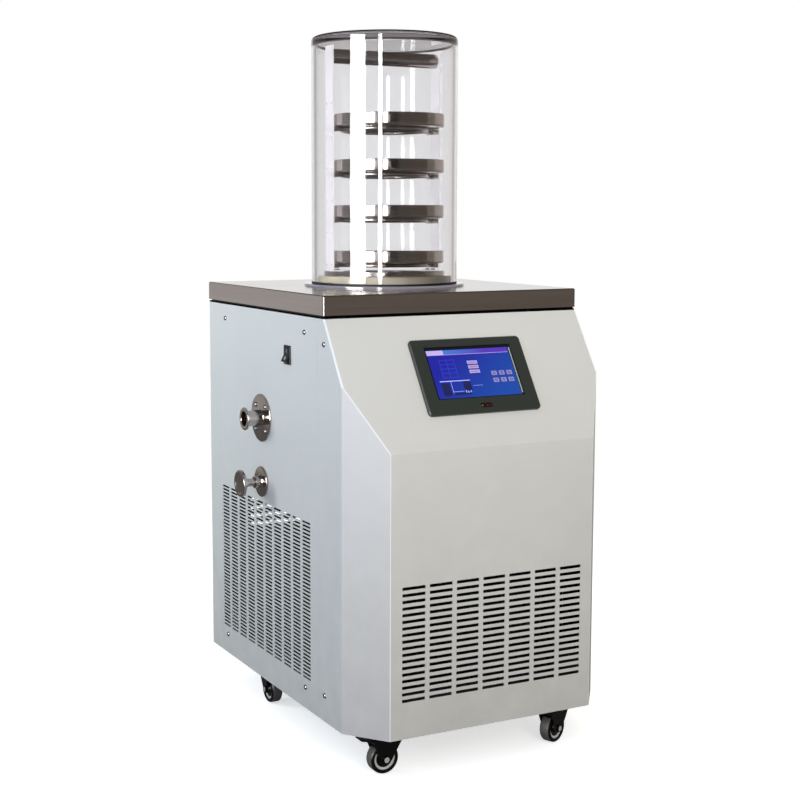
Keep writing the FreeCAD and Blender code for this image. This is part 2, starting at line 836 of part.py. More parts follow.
def screen_bezel():
    top = "bezel_down"
    body = slope_box("screen_bezel", "bezel_width", top, "bezel_down + bezel_height", "0", "bezel_thick")
    body.fillet(upright, "bezel_corner")
    body.chamfer(lambda e: near(e.CenterOfMass.z, "bezel_thick"), "bezel_edge")
    openings = body.sketch("XY_Plane")
    rectangle(openings, "-window_width / 2", "-(bezel_down + window_drop + window_height)",
              "window_width / 2", "-(bezel_down + window_drop)")
    rectangle(openings, *INDICATOR_SPAN)
    body.pocket_through(openings)


INDICATOR_SPAN = ("indicator_x - indicator_width / 2", "-(bezel_down + indicator_drop + indicator_height)",
                  "indicator_x + indicator_width / 2", "-(bezel_down + indicator_drop)")


def screen_housing():
    top, bottom = screen_box_span("0")
    body = slope_box("screen_housing", "screen_box_width", top, bottom, "-screen_box_depth", "0")
    body.fillet(lambda e: not near(e.CenterOfMass.z, "0"), "screen_box_corner")


def screen_window():
    slope_box("screen_window", "window_width", "bezel_down + window_drop",
              "bezel_down + window_drop + window_height", "0", "bezel_thick - window_sink")


def indicator_window():
    body = Body("indicator_window")
    body.pad(rectangle(body.sketch("XY_Plane"), *INDICATOR_SPAN), "bezel_thick - indicator_sink")
    slope_place(body)


# ---------------------------------------------------------------- rocker switch

SWITCH_PLACE = ("-half_width", "-switch_front", "floor_gap + switch_up")


def switch_frame():
    """Snap-in housing, built with its face towards +Z and turned to face left."""
    body = Body("switch_frame")
    half_y = "(switch_width / 2)"
    half_z = "(switch_height / 2)"
    wall_y = "(well_half_y + switch_wall)"
    body.pad(rectangle(body.sketch("XY_Plane"), f"-{half_z}", f"-{half_y}", half_z, half_y), "switch_flange")
    body.chamfer(level_at("switch_flange"), "switch_wall / 2")
    body.pad(rectangle(body.sketch("XY_Plane"), "-body_half_z", f"-{wall_y}", "body_half_z", wall_y),
             "switch_depth", reverse=True)
    reach = "(rocker_radius + rocker_clearance)"
    well = body.sketch("XY_Plane", "switch_flange")
    rectangle(well, f"-{reach}", "-well_half_y", reach, "well_half_y")
    body.pocket(well, f"switch_flange + {reach}")
    body.pocket(circle(body.sketch("XZ_Plane"), 0, 0, "rocker_pin_radius + running_fit"),
                "2 * (well_half_y + switch_wall)", side="Symmetric")
    body.place(*SWITCH_PLACE, AXIS_Y, -90)


def power_rocker():
    """Rocker with a shallow V face and two pivot stubs, tipped to its off position."""
    body = Body("power_rocker")
    width = "2 * (well_half_y - rocker_clearance)"
    body.pad(circle(body.sketch("XZ_Plane"), 0, 0, "rocker_radius"), width, side="Symmetric")
    far = "far_cut"
    rise = "rocker_proud + far_cut * tan(rocker_tilt_angle * 1 deg)"
    face = outline(body.sketch("XZ_Plane"), [("0", "rocker_proud"), (far, rise), (far, far), (f"-{far}", far),
                                             (f"-{far}", rise)])
    body.pocket(face, far, side="Symmetric")
    back = rectangle(body.sketch("XZ_Plane"), f"-{far}", f"-{far}", far, "-rocker_back")
    body.pocket(back, far, side="Symmetric")
    pin = circle(body.sketch("XZ_Plane"), 0, 0, "rocker_pin_radius")
    body.pad(pin, "2 * (well_half_y + switch_wall / 2)", side="Symmetric")
    body.place(*SWITCH_PLACE, AXIS_Y, "rocker_tilt_angle - 90")


# ---------------------------------------------------------------- vacuum port and release valve

def on_left(body, height):
    """Turns a body that was built upwards so that it stands out of the left side."""
    return body.place("-half_width", 0, height, AXIS_Y, -90)


def vacuum_port():
    slope = "(port_rim_radius - port_tube_radius) * tan(port_slope_angle * 1 deg)"
    inside = "trap_outer + port_end_gap - half_width"
    body = turned("vacuum_port", [
        ("port_bore_radius", inside), ("port_tube_radius", inside), ("port_tube_radius", "0"),
        ("port_plate_radius", "0"), ("port_plate_radius", "port_plate"), ("port_tube_radius", "port_plate"),
        ("port_tube_radius", f"port_reach - port_rim - {slope}"),
        ("port_rim_radius", "port_reach - port_rim"),
        ("port_rim_radius", "port_reach"), ("port_bore_radius", "port_reach")])
    holes = body.sketch("XY_Plane")
    circles(holes, PORT_SCREWS, "screw_radius")
    body.pocket(holes, "port_plate", reverse=True)
    on_left(body, "floor_gap + port_up")


PORT_SCREWS = [(f"{x} * port_screw_circle * cos(45 deg)", f"{y} * port_screw_circle * cos(45 deg)")
               for x in (-1, 1) for y in (-1, 1)]


def port_screws():
    body = Body("port_screws")
    body.pad(circles(body.sketch("XY_Plane", "port_plate"), PORT_SCREWS, "screw_head_radius"), "screw_head")
    body.pad(circles(body.sketch("XY_Plane", "port_plate"), PORT_SCREWS, "screw_radius"),
             "port_plate + screw_length", reverse=True)
    on_left(body, "floor_gap + port_up")


def valve_body():
    gland_top = "valve_base + valve_gland"
    body = turned("valve_body", [
        ("0", "-valve_inside"), ("valve_inside_radius", "-valve_inside"), ("valve_inside_radius", "0"),
        ("valve_base_radius", "0"), ("valve_base_radius", "valve_base"), ("valve_gland_radius", "valve_base"),
        ("valve_gland_radius", gland_top), ("0", gland_top)])
    body.chamfer(ring_at("valve_base_radius", "valve_base"), "valve_base / 3")
    bore = circle(body.sketch("XY_Plane", gland_top), 0, 0, "valve_stem_radius + running_fit")
    body.pocket(bore, "valve_gland")
    on_left(body, "floor_gap + valve_up")


def valve_knob():
    foot = "valve_base + valve_stem_gap"
    body = turned("valve_knob", [
        ("0", foot), ("valve_stem_radius", foot), ("valve_stem_radius", "knob_low - valve_hub"),
        ("valve_hub_radius", "knob_low - valve_hub"), ("valve_hub_radius", "knob_low"),
        ("valve_knob_radius", "knob_low"), ("valve_knob_radius", "valve_reach"), ("0", "valve_reach")])
    body.fillet(ring_at("valve_knob_radius", "valve_reach"), "valve_knob_edge")
    on_left(body, "floor_gap + valve_up")


# ---------------------------------------------------------------- cold trap

def cold_trap_pot():
    low = "trap_floor"
    body = turned("cold_trap_pot", [
        ("0", f"{low} - trap_wall"), ("trap_outer", f"{low} - trap_wall"), ("trap_outer", "cap_top"),
        ("rim_radius", "cap_top"), ("rim_radius", "cap_top + trap_wall"),
        ("trap_radius", "cap_top + trap_wall"),
        ("trap_radius", low), ("0", low)])
    body.fillet(ring_at("trap_outer", f"{low} - trap_wall"), "trap_fillet")
    body.fillet(ring_at("trap_radius", low), "trap_fillet - trap_wall")
    hole = circle(body.sketch("YZ_Plane"), 0, "floor_gap + port_up", "port_bore_radius")
    body.pocket(hole, "far_cut")


def trap_insulation():
    """Foam round the pot, with the evaporator tube moulded in."""
    low = "(trap_floor - trap_wall)"
    body = turned("trap_insulation", [
        ("0", f"{low} - foam_wall"), ("foam_radius", f"{low} - foam_wall"),
        ("foam_radius", "cap_under - foam_top_gap"),
        ("trap_outer", "cap_under - foam_top_gap"), ("trap_outer", low), ("0", low)])
    body.fillet(ring_at("foam_radius", f"{low} - foam_wall"), "trap_fillet")
    body.fillet(ring_at("trap_outer", low), "trap_fillet")
    body.pocket(circle(body.sketch("YZ_Plane"), 0, "floor_gap + port_up", "port_tube_radius"), "far_cut")


# ---------------------------------------------------------------- drum and its seat

def seat_flange():
    relief = "cap_top + trap_wall + seat_relief"
    turned("seat_flange", [
        ("trap_radius", relief), ("rim_radius + seat_relief", relief),
        ("rim_radius + seat_relief", "cap_top"),
        ("seat_radius", "cap_top"), ("seat_radius", "seat_top - seat_chamfer"),
        ("seat_radius - seat_chamfer", "seat_top"), ("trap_radius", "seat_top")])


def drum_gasket():
    inner = "drum_bore - gasket_overlap"
    outer = "drum_radius + gasket_overlap"
    turned("drum_gasket", [
        (inner, "seat_top"), (outer, "seat_top"), (outer, "gasket_top"), (inner, "gasket_top")])


def acrylic_drum():
    under = "drum_top_z - drum_top"
    body = turned("acrylic_drum", [
        ("drum_bore", "gasket_top"), ("drum_radius", "gasket_top"), ("drum_radius", "drum_top_z"),
        ("0", "drum_top_z"), ("0", under), ("drum_bore", under)])
    body.fillet(ring_at("drum_radius", "drum_top_z"), "drum_round")
    body.fillet(ring_at("drum_bore", under), "drum_inner_round")


def seat_ring():
    outer = "drum_bore - gasket_overlap - ring_gap"
    turned("seat_ring", [
        ("ring_bore", "seat_top"), (outer, "seat_top"), (outer, "ring_top"), ("ring_bore", "ring_top")])


# ---------------------------------------------------------------- tray rack

FOOT_SCREW_X = "(upright_offset - upright_foot / 2)"
FOOT_SCREWS = [(f"{x} * {FOOT_SCREW_X}", f"{y} * upright_hole_spread / 2") for x in (-1, 1) for y in (-1, 1)]


def rack_base():
    body = turned("rack_base", [("rack_base_bore", "ring_top"), ("rack_base_radius", "ring_top"),
                                ("rack_base_radius", "rack_floor"), ("rack_base_bore", "rack_floor")])
    body.chamfer(ring_at("rack_base_radius", "rack_floor"), "rack_base_edge")
    body.pocket(circles(body.sketch("XY_Plane", "rack_floor"), FOOT_SCREWS, "screw_radius"), "rack_base")


def upright_strip(name, side):
    """A bent strip with a foot and six pairs of holes. The left side is -1 and the right side 1."""
    body = Body(name)
    inner = f"{side} * upright_offset"
    outer = f"{side} * (upright_offset + upright_gauge)"
    tip = f"{side} * (upright_offset - upright_foot)"
    profile = outline(body.sketch("XZ_Plane"), [
        (tip, "rack_floor"), (outer, "rack_floor"), (outer, "cap_top + upright_top"),
        (inner, "cap_top + upright_top"),
        (inner, "rack_floor + upright_gauge"), (tip, "rack_floor + upright_gauge")])
    body.pad(profile, "upright_width", side="Symmetric")
    spots = [(f"{y} * upright_hole_spread / 2", "cap_top + upright_hole_first") for y in (-1, 1)]
    pair = circles(body.sketch("YZ_Plane"), spots, "upright_hole_radius")
    cut = body.pocket(pair, "far_cut", side="Symmetric")
    body.rows(cut, pair, "upright_hole_pitch", "upright_hole_rows")
    body.pocket(circles(body.sketch("XY_Plane", "rack_floor + upright_gauge"), FOOT_SCREWS, "screw_radius"),
                "upright_gauge")


def rack_screws():
    body = Body("rack_screws")
    top = "rack_floor + upright_gauge"
    body.pad(circles(body.sketch("XY_Plane", top), FOOT_SCREWS, "screw_head_radius"), "screw_head")
    body.pad(circles(body.sketch("XY_Plane", top), FOOT_SCREWS, "screw_radius"), "upright_gauge + rack_base",
             reverse=True)


def handle_tube():
    """Carrying tube between the uprights, welded at both ends."""
    body = Body("handle_tube")
    ring = body.sketch("YZ_Plane")
    circle(ring, 0, "cap_top + handle_up", "handle_radius")
    circle(ring, 0, "cap_top + handle_up", "handle_radius - handle_wall")
    body.pad(ring, "2 * upright_offset", side="Symmetric")


def tray(number):
    floor = f"(cap_top + tray_first + {number} * tray_pitch)"
    top = f"{floor} + tray_height"
    body = turned(f"tray_{number + 1}", [
        ("0", floor), ("tray_radius", floor), ("tray_radius", top),
        ("tray_radius - tray_wall - tray_rim", top),
        ("tray_radius - tray_wall - tray_rim", f"{top} - tray_rim"),
        ("tray_radius - tray_wall", f"{top} - tray_rim"),
        ("tray_radius - tray_wall", f"{floor} + tray_wall"), ("0", f"{floor} + tray_wall")])
    body.fillet(ring_at("tray_radius", floor), "tray_round")
    body.fillet(ring_at("tray_radius - tray_wall", f"{floor} + tray_wall"), "tray_round - tray_wall")
    body.place(0, "-tray_forward", 0)


def shelf_ring(number):
    """A rod bent to a ring under a tray, with an arm and an end block to each upright."""
    level = f"(cap_top + tray_first + {number} * tray_pitch - shelf_rod_radius)"
    body = Body(f"shelf_ring_{number + 1}")
    body.revolve(circle(body.sketch("YZ_Plane"), "shelf_radius", level, "shelf_rod_radius"))
    for side, reverse in ((1, False), (-1, True)):
        arm = circle(body.sketch("YZ_Plane", f"{side} * shelf_radius"), 0, level, "shelf_rod_radius")
        body.pad(arm, "upright_offset - shelf_radius", reverse=reverse)
    blocks = body.sketch("XY_Plane", f"{level} + shelf_rod_radius")
    for left, right in (("-upright_offset", "bracket_depth - upright_offset"),
                        ("upright_offset - bracket_depth", "upright_offset")):
        rectangle(blocks, left, "-upright_width / 2", right, "upright_width / 2")
    body.pad(blocks, "bracket_drop", reverse=True)


# ---------------------------------------------------------------- refrigeration

FEET = [(f"{x} * (compressor_foot / 2 - mount_inset)", f"{y} * (compressor_foot / 2 - mount_inset)")
        for x in (-1, 1) for y in (-1, 1)]


def compressor():
    body = Body("compressor")
    half = "(compressor_foot / 2)"
    body.pad(rectangle(body.sketch("XY_Plane"), f"-{half}", f"-{half}", half, half), "foot_gauge")
    body.fillet(upright, "mount_radius")
    can = circle(body.sketch("XY_Plane", "foot_gauge"), 0, 0, "compressor_radius")
    body.pad(can, "compressor_height")
    body.fillet(ring_at("compressor_radius", "foot_gauge + compressor_height"), "compressor_round")
    seam = circle(body.sketch("XY_Plane", "foot_gauge + compressor_height / 2"), 0, 0,
                  "compressor_radius + compressor_seam")
    body.pad(seam, "compressor_seam")
    body.place("compressor_x", "compressor_y", "compressor_low")


def compressor_mounts():
    body = Body("compressor_mounts")
    body.pad(circles(body.sketch("XY_Plane"), FEET, "mount_radius"), "mount_height")
    body.place("compressor_x", "compressor_y", "pan_floor")


def condenser():
    """Two end plates that stand on the pan, fins between them, and tubes through all of them."""
    body = Body("condenser_coil")
    half = "(condenser_width / 2)"
    plates = body.sketch("XY_Plane", "pan_floor")
    for side in (-1, 1):
        rectangle(plates, f"{side} * {half}", "-condenser_front",
                  f"{side} * ({half} - condenser_end_gauge)", "condenser_back")
    body.pad(plates, "condenser_top - pan_floor")
    fins = body.sketch("XY_Plane", "condenser_low")
    count = round(value("condenser_fins"))
    for i in range(count):
        left = f"-{half} + condenser_width * {i + 1} / (condenser_fins + 1)"
        rectangle(fins, left, "-condenser_front", f"{left} + condenser_fin_gauge", "condenser_back")
    body.pad(fins, "condenser_height")
    tubes = body.sketch("YZ_Plane")
    for i in range(round(value("condenser_tubes"))):
        circle(tubes, "condenser_back - condenser_depth / 2",
               f"condenser_low + condenser_height * ({i} + 0.5) / condenser_tubes", "pipe_radius")
    body.pad(tubes, "condenser_width", side="Symmetric")


def fan_shroud():
    """Plate behind the condenser with a ring round the fan and a cross bar for the motor."""
    body = Body("fan_shroud")
    half = "(condenser_width / 2)"
    opening = "fan_radius + fan_tip_gap"
    plate = body.sketch("XZ_Plane", "-condenser_back")
    rectangle(plate, f"-{half}", "condenser_low", half, "condenser_top")
    circle(plate, 0, "fan_z", opening)
    body.pad(plate, "shroud_gauge", reverse=True)
    ring = body.sketch("XZ_Plane", "-condenser_back")
    circle(ring, 0, "fan_z", f"{opening} + shroud_gauge")
    circle(ring, 0, "fan_z", opening)
    body.pad(ring, "shroud_depth", reverse=True)
    arm = body.sketch("XZ_Plane", "-shroud_back")
    reach = f"({opening} + shroud_gauge / 2)"
    rectangle(arm, f"-{reach}", "fan_z - shroud_arm / 2", reach, "fan_z + shroud_arm / 2")
    body.pad(arm, "shroud_gauge")
    hub = circle(body.sketch("XZ_Plane", "-shroud_back"), 0, "fan_z", "motor_radius")
    body.pad(hub, "shroud_gauge")
    bore = circle(body.sketch("XZ_Plane", "-shroud_back"), 0, "fan_z", "motor_shaft_radius + running_fit")
    body.pocket(bore, "sheet_cut", side="Symmetric")


def fan_motor():
    body = Body("fan_motor")
    body.pad(circle(body.sketch("XZ_Plane", "-shroud_back"), 0, "fan_z", "motor_radius"), "motor_length",
             reverse=True)
    body.fillet(lambda e: not near(e.CenterOfMass.y, "shroud_back"), "shroud_gauge")
    body.pad(circle(body.sketch("XZ_Plane", "-shroud_back"), 0, "fan_z", "motor_shaft_radius"),
             "motor_gap + shroud_gauge + fan_hub / 2")


def fan_rotor():
    """Hub and pitched blades, built round Z and turned so that the hub opens towards the motor."""
    body = Body("fan_rotor")
    body.pad(circle(body.sketch("XY_Plane"), 0, 0, "fan_hub_radius"), "fan_hub")
    bore = circle(body.sketch("XY_Plane", "fan_hub"), 0, 0, "motor_shaft_radius + running_fit")
    body.pocket(bore, "fan_hub / 2 + shaft_end_gap")
    blade = body.sketch("YZ_Plane", "fan_hub_radius - fan_blade_gauge")
    lean, rise = "cos(fan_blade_angle * 1 deg)", "sin(fan_blade_angle * 1 deg)"
    corners = []
    for a, b in ((-1, -1), (1, -1), (1, 1), (-1, 1)):
        long, thick = f"{a} * fan_blade_chord / 2", f"{b} * fan_blade_gauge / 2"
        corners.append((f"{long} * {lean} - {thick} * {rise}",
                        f"fan_hub / 2 + {long} * {rise} + {thick} * {lean}"))
    outline(blade, corners)
    pad = body.pad(blade, "fan_radius - fan_hub_radius")
    body.round_about(pad, body.sketch("XY_Plane"), "fan_blades")
    body.place(0, "motor_front - shroud_gauge - fan_hub", "fan_z", AXIS_X, -90)


def refrigerant_line():
    """Discharge pipe: up from the compressor, forwards and down to the condenser."""
    body = Body("refrigerant_line")
    path = body.sketch("YZ_Plane", "compressor_x")
    back = "compressor_y"
    front = "condenser_back - condenser_depth / 2"
    high = "compressor_top + pipe_rise"
    outline_open(path, [(back, "compressor_top"), (back, high), (front, high), (front, "condenser_top")])
    end = circle(body.sketch("XY_Plane", "compressor_top"), "compressor_x", back, "pipe_radius")
    pipe = body.item.newObject("PartDesign::AdditivePipe", "refrigerant_line_pipe")
    pipe.Profile = end
    pipe.Spine = (path, [f"Edge{i + 1}" for i in range(path.GeometryCount)])
    doc.recompute()


def outline_open(sketch, points):
    """A path of straight runs with an arc of the pipe's bend radius at each inner corner."""
    bend = value("pipe_bend")
    spots = [Vector(value(x), value(y), 0) for x, y in points]
    for a, b in zip(spots, spots[1:]):
        sketch.addGeometry(Part.LineSegment(a, b), False)
    for i in range(len(spots) - 2):
        sketch.addConstraint(Sketcher.Constraint("Coincident", i, 2, i + 1, 1))
    for i in range(len(spots) - 2):
        corner = spots[i + 1]
        before = corner + (spots[i] - corner).normalize() * bend
        after = corner + (spots[i + 2] - corner).normalize() * bend
        sketch.fillet(i, i + 1, before, after, bend, True, False)


def control_box():
    body = Body("control_box")
    body.pad(rectangle(body.sketch("XY_Plane", "pan_floor"), "box_x - box_width / 2", "-box_front",
                       "box_x + box_width / 2", "box_depth - box_front"), "box_height")
    body.fillet(upright, "box_round")


def power_inlet():
    """Appliance inlet in the back, built with its mouth towards -Y and turned round."""
    body = Body("power_inlet")
    flange_x = "(inlet_width / 2 + inlet_margin)"
    flange_z = "(inlet_height / 2 + inlet_margin)"
    flange = rectangle(body.sketch("XZ_Plane"), f"-{flange_x}", f"-{flange_z}", flange_x, flange_z)
    body.pad(flange, "inlet_flange")
    half_x = "inlet_width / 2 - hole_clearance"
    half_z = "inlet_height / 2 - hole_clearance"
    shell = rectangle(body.sketch("XZ_Plane"), f"-({half_x})", f"-({half_z})", half_x, half_z)
    body.pad(shell, "inlet_depth", reverse=True)
    well = rectangle(body.sketch("XZ_Plane", "inlet_flange"), "-inlet_width / 2 + inlet_wall",
                     "-inlet_height / 2 + inlet_wall", "inlet_width / 2 - inlet_wall",
                     "inlet_height / 2 - inlet_wall")
    body.pocket(well, "inlet_depth - inlet_wall")
    pins = body.sketch("XZ_Plane", "inlet_wall - inlet_depth + inlet_flange")
    for i in (-1, 0, 1):
        middle = f"{i} * inlet_pin_pitch"
        rectangle(pins, f"{middle} - inlet_pin_width / 2", "-inlet_pin_height / 2",
                  f"{middle} + inlet_pin_width / 2", "inlet_pin_height / 2")
    body.pad(pins, "inlet_depth - 2 * inlet_wall")
    body.place("inlet_x", "rear_y + panel_gauge", "floor_gap + inlet_up", AXIS_Z, 180)


# ---------------------------------------------------------------- casters

CASTERS = {
    "fl": ("-front_caster_x", "front_caster_y", "front_left_trail_angle"),
    "fr": ("front_caster_x", "front_caster_y", "front_right_trail_angle"),
    "rl": ("-rear_caster_x", "rear_caster_y", "rear_left_trail_angle"),
    "rr": ("rear_caster_x", "rear_caster_y", "rear_right_trail_angle"),
}
CASTER_SPOTS = [(x, y) for x, y, _ in CASTERS.values()]
CASTER_HOLES = [(f"{x} + {a} * caster_hole_x / 2", f"{y} + {b} * caster_hole_y / 2")
                for x, y in CASTER_SPOTS for a in (-1, 1) for b in (-1, 1)]


def caster_plates():
    """Four mounting plates with their swivel races and kingpins."""
    body = Body("caster_plates")
    plates = body.sketch("XY_Plane", "floor_gap")
    for x, y in CASTER_SPOTS:
        rectangle(plates, f"{x} - caster_plate_x / 2", f"{y} - caster_plate_y / 2",
                  f"{x} + caster_plate_x / 2", f"{y} + caster_plate_y / 2")
    body.pad(plates, "caster_plate", reverse=True)
    under = "floor_gap - caster_plate"
    race = circles(body.sketch("XY_Plane", under), CASTER_SPOTS, "caster_race_radius")
    body.pad(race, "caster_race", reverse=True)
    pin = "race_low - crown_low + caster_race_gap"
    body.pad(circles(body.sketch("XY_Plane", "race_low"), CASTER_SPOTS, "kingpin_radius"), pin, reverse=True)
    foot = body.sketch("XY_Plane", "crown_low - caster_race_gap")
    heads = circles(foot, CASTER_SPOTS, "kingpin_head_radius")
    body.pad(heads, "kingpin_head", reverse=True)
    holes = circles(body.sketch("XY_Plane", "floor_gap"), CASTER_HOLES, "caster_bolt_radius")
    body.pocket(holes, "caster_plate")


def caster_bolts():
    body = Body("caster_bolts")
    body.pad(circles(body.sketch("XY_Plane", "pan_floor"), CASTER_HOLES, "caster_bolt_head_radius"),
             "caster_bolt_head")
    body.pad(circles(body.sketch("XY_Plane", "pan_floor"), CASTER_HOLES, "caster_bolt_radius"),
             "pan_gauge + caster_plate", reverse=True)


def caster_fork(key, braked):
    """A bent fork with a riveted axle. Braked forks reach further back, to carry the pedal."""
    body = Body(f"caster_fork_{key}")
    reach = "pedal_pin_x + pedal_boss_radius" if braked else "fork_reach"
    ear = "pedal_pin_up - pedal_boss_radius" if braked else "crown_low"
    profile = outline(body.sketch("XZ_Plane"), [
        ("-fork_back", "crown_top"), ("-fork_back", "crown_low - fork_crown"),
        ("wheel_trail - fork_foot_radius", "wheel_radius - fork_foot_radius"),
        ("wheel_trail + fork_foot_radius", "wheel_radius - fork_foot_radius"),
        (reach, ear), (reach, "crown_top")])
    body.pad(profile, "2 * fork_outer", side="Symmetric")
    foot = "wheel_radius - fork_foot_radius"
    body.fillet(lambda e: near(e.CenterOfMass.z, foot) and near(e.CenterOfMass.y, "0"),
                "fork_foot_radius - axle_radius / 2")
    room = rectangle(body.sketch("XZ_Plane"), "-far_cut", "0", "far_cut", "crown_low")
    body.pocket(room, "2 * fork_inner", side="Symmetric")
    if braked:
        notch = body.sketch("XY_Plane", "crown_top")
        rectangle(notch, "fork_reach", "-fork_inner", "far_cut", "fork_inner")
        body.pocket(notch, "fork_crown")
        pin = circle(body.sketch("XZ_Plane"), "pedal_pin_x", "pedal_pin_up", "pedal_pin_radius + running_fit")
        body.pocket(pin, "far_cut", side="Symmetric")
    bore = circle(body.sketch("XY_Plane", "crown_top"), 0, 0, "kingpin_radius + running_fit")
    body.pocket(bore, "fork_crown")
    body.pad(circle(body.sketch("XZ_Plane"), "wheel_trail", "wheel_radius", "axle_radius"), "2 * fork_outer",
             side="Symmetric")
    for side, reverse in ((1, False), (-1, True)):
        head = circle(body.sketch("XZ_Plane", f"{side} * fork_outer"), "wheel_trail", "wheel_radius",
                      "axle_head_radius")
        body.pad(head, "axle_head", reverse=reverse)
    caster_place(body, key)


def caster_place(body, key):
    x, y, angle = CASTERS[key]
    body.place(x, y, 0, AXIS_Z, angle)


def caster_wheel(key):
    """Wheel with a rounded tread and dished sides, revolved round its axle."""
    body = Body(f"caster_wheel_{key}")
    half = "(wheel_width / 2)"
    hub = "(fork_inner - hub_gap)"
    dish = f"({half} - wheel_recess)"
    rim = "wheel_radius - wheel_rim"
    bore = "axle_radius + running_fit"
    profile = body.sketch("XZ_Plane")
    outline(profile, [
        (bore, f"-{hub}"), ("wheel_hub_radius", f"-{hub}"), ("wheel_hub_radius", f"-{dish}"),
        (rim, f"-{dish}"),
        (rim, f"-{half}"), ("wheel_radius", f"-{half}"), ("wheel_radius", half), (rim, half), (rim, dish),
        ("wheel_hub_radius", dish), ("wheel_hub_radius", hub), (bore, hub)])
    body.revolve(profile)
    body.fillet(lambda e: isinstance(e.Curve, Part.Circle) and near(e.Curve.Radius, "wheel_radius"),
                "wheel_tread_round")
    x, y, angle = CASTERS[key]
    turn = Rotation(AXIS_Z, value(angle)) * Rotation(AXIS_X, 90)
    body.item.Placement = Placement(Vector(), turn)
    body.item.setExpression("Placement.Base.x", bound(f"{x} + wheel_trail * cos({angle} * 1 deg)"))
    body.item.setExpression("Placement.Base.y", bound(f"{y} + wheel_trail * sin({angle} * 1 deg)"))
    body.item.setExpression("Placement.Base.z", bound("wheel_radius"))


def brake_pedal(key):
    """Foot pedal on stub pins between the ears of the fork, raised as it is when the wheel is free."""
    body = Body(f"brake_pedal_{key}")
    tip_x = "pedal_pin_x + pedal_reach"
    tip_z = "pedal_pin_up + pedal_rise"
    width = "2 * (fork_inner - pedal_side_gap)"
    boss = circle(body.sketch("XZ_Plane"), "pedal_pin_x", "pedal_pin_up", "pedal_boss_radius")
    body.pad(boss, width, side="Symmetric")
    plate = outline(body.sketch("XZ_Plane"), [
        ("pedal_pin_x", "pedal_pin_up + pedal_boss_radius - pedal_gauge"), (tip_x, tip_z),
        (tip_x, f"{tip_z} + pedal_gauge"), ("pedal_pin_x", "pedal_pin_up + pedal_boss_radius")])
    body.pad(plate, width, side="Symmetric")
    shoe = outline(body.sketch("XZ_Plane"), [
        ("pedal_pin_x", "pedal_pin_up"),
        ("pedal_pin_x + brake_shoe_near", "pedal_pin_up - brake_shoe_near_drop"),
        ("pedal_pin_x + brake_shoe_far", "pedal_pin_up - brake_shoe_far_drop")])
    body.pad(shoe, "wheel_width", side="Symmetric")
    pin = circle(body.sketch("XZ_Plane"), "pedal_pin_x", "pedal_pin_up", "pedal_pin_radius")
    body.pad(pin, "2 * fork_outer", side="Symmetric")
    caster_place(body, key)


# ---------------------------------------------------------------- build and export

def build():
    base_pan()
    frame_posts()
    top_rails()
    left_side_panel()
    side_panel("right_side_panel", 1)
    rear_panel()
    front_shell()
    top_cap()
    panel_screws()
    screen_bezel()
    screen_housing()
    screen_window()
    indicator_window()
    switch_frame()
    power_rocker()
    vacuum_port()
    port_screws()
    valve_body()
    valve_knob()
    cold_trap_pot()
    trap_insulation()
    seat_flange()
    drum_gasket()
    acrylic_drum()
    seat_ring()
    rack_base()
    upright_strip("left_upright", -1)
    upright_strip("right_upright", 1)
    handle_tube()
    rack_screws()
    for number in range(round(value("tray_count"))):
        shelf_ring(number)
        tray(number)
    compressor()
    compressor_mounts()
    condenser()
    fan_shroud()
    fan_motor()
    fan_rotor()
    refrigerant_line()
    control_box()
    power_inlet()
    caster_plates()
    caster_bolts()
    for key in CASTERS:
        caster_fork(key, braked=key.startswith("f"))
        caster_wheel(key)
    brake_pedal("fl")
    brake_pedal("fr")


def check():
    """Stops the build if any object is in error or any piece is not a sound solid."""
    doc.recompute()
    for item in doc.Objects:
        if "Invalid" in item.State or "Error" in item.State:
            raise RuntimeError(f"{item.Name} did not compute: {item.State}")
    for piece in pieces:
        if piece.Shape.isNull() or not piece.Shape.isValid() or not piece.Shape.Solids:
            raise RuntimeError(f"{piece.Label} is not a valid solid")


def export():
    os.makedirs("parts", exist_ok=True)
    for piece in pieces:
        piece.Shape.exportStep(f"parts/{piece.Label}.step")


build()
check()
export()
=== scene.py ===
import json
import math
from contextlib import contextmanager

import bmesh
import bpy
from mathutils import Matrix, Vector


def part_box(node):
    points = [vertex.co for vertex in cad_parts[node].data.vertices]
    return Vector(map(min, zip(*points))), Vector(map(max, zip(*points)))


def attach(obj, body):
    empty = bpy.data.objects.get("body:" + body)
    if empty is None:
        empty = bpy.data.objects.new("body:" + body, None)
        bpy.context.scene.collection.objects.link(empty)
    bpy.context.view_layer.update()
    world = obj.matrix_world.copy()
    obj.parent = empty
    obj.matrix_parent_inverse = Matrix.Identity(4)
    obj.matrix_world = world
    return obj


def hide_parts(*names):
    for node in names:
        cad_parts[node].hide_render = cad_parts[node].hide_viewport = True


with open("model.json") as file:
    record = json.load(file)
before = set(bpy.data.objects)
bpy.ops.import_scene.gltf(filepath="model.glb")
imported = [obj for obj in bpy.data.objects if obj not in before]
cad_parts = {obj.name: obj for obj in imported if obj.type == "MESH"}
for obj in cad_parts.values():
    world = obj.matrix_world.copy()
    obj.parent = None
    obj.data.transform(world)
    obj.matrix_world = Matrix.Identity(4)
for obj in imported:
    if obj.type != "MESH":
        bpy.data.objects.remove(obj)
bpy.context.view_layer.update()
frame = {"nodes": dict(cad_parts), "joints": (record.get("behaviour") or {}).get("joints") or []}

bl_info = {
    "name": "Freeze Dryer",
    "version": (1, 0, 0),
    "blender": (4, 5, 0),
    "location": "View3D > Sidebar > Freeze Dryer",
    "description": "Dresses the packed freeze dryer with detailed pieces and procedural materials",
    "category": "Object",
}

NODES = frame["nodes"]
LEFT_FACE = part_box("left_side_panel")[0].x

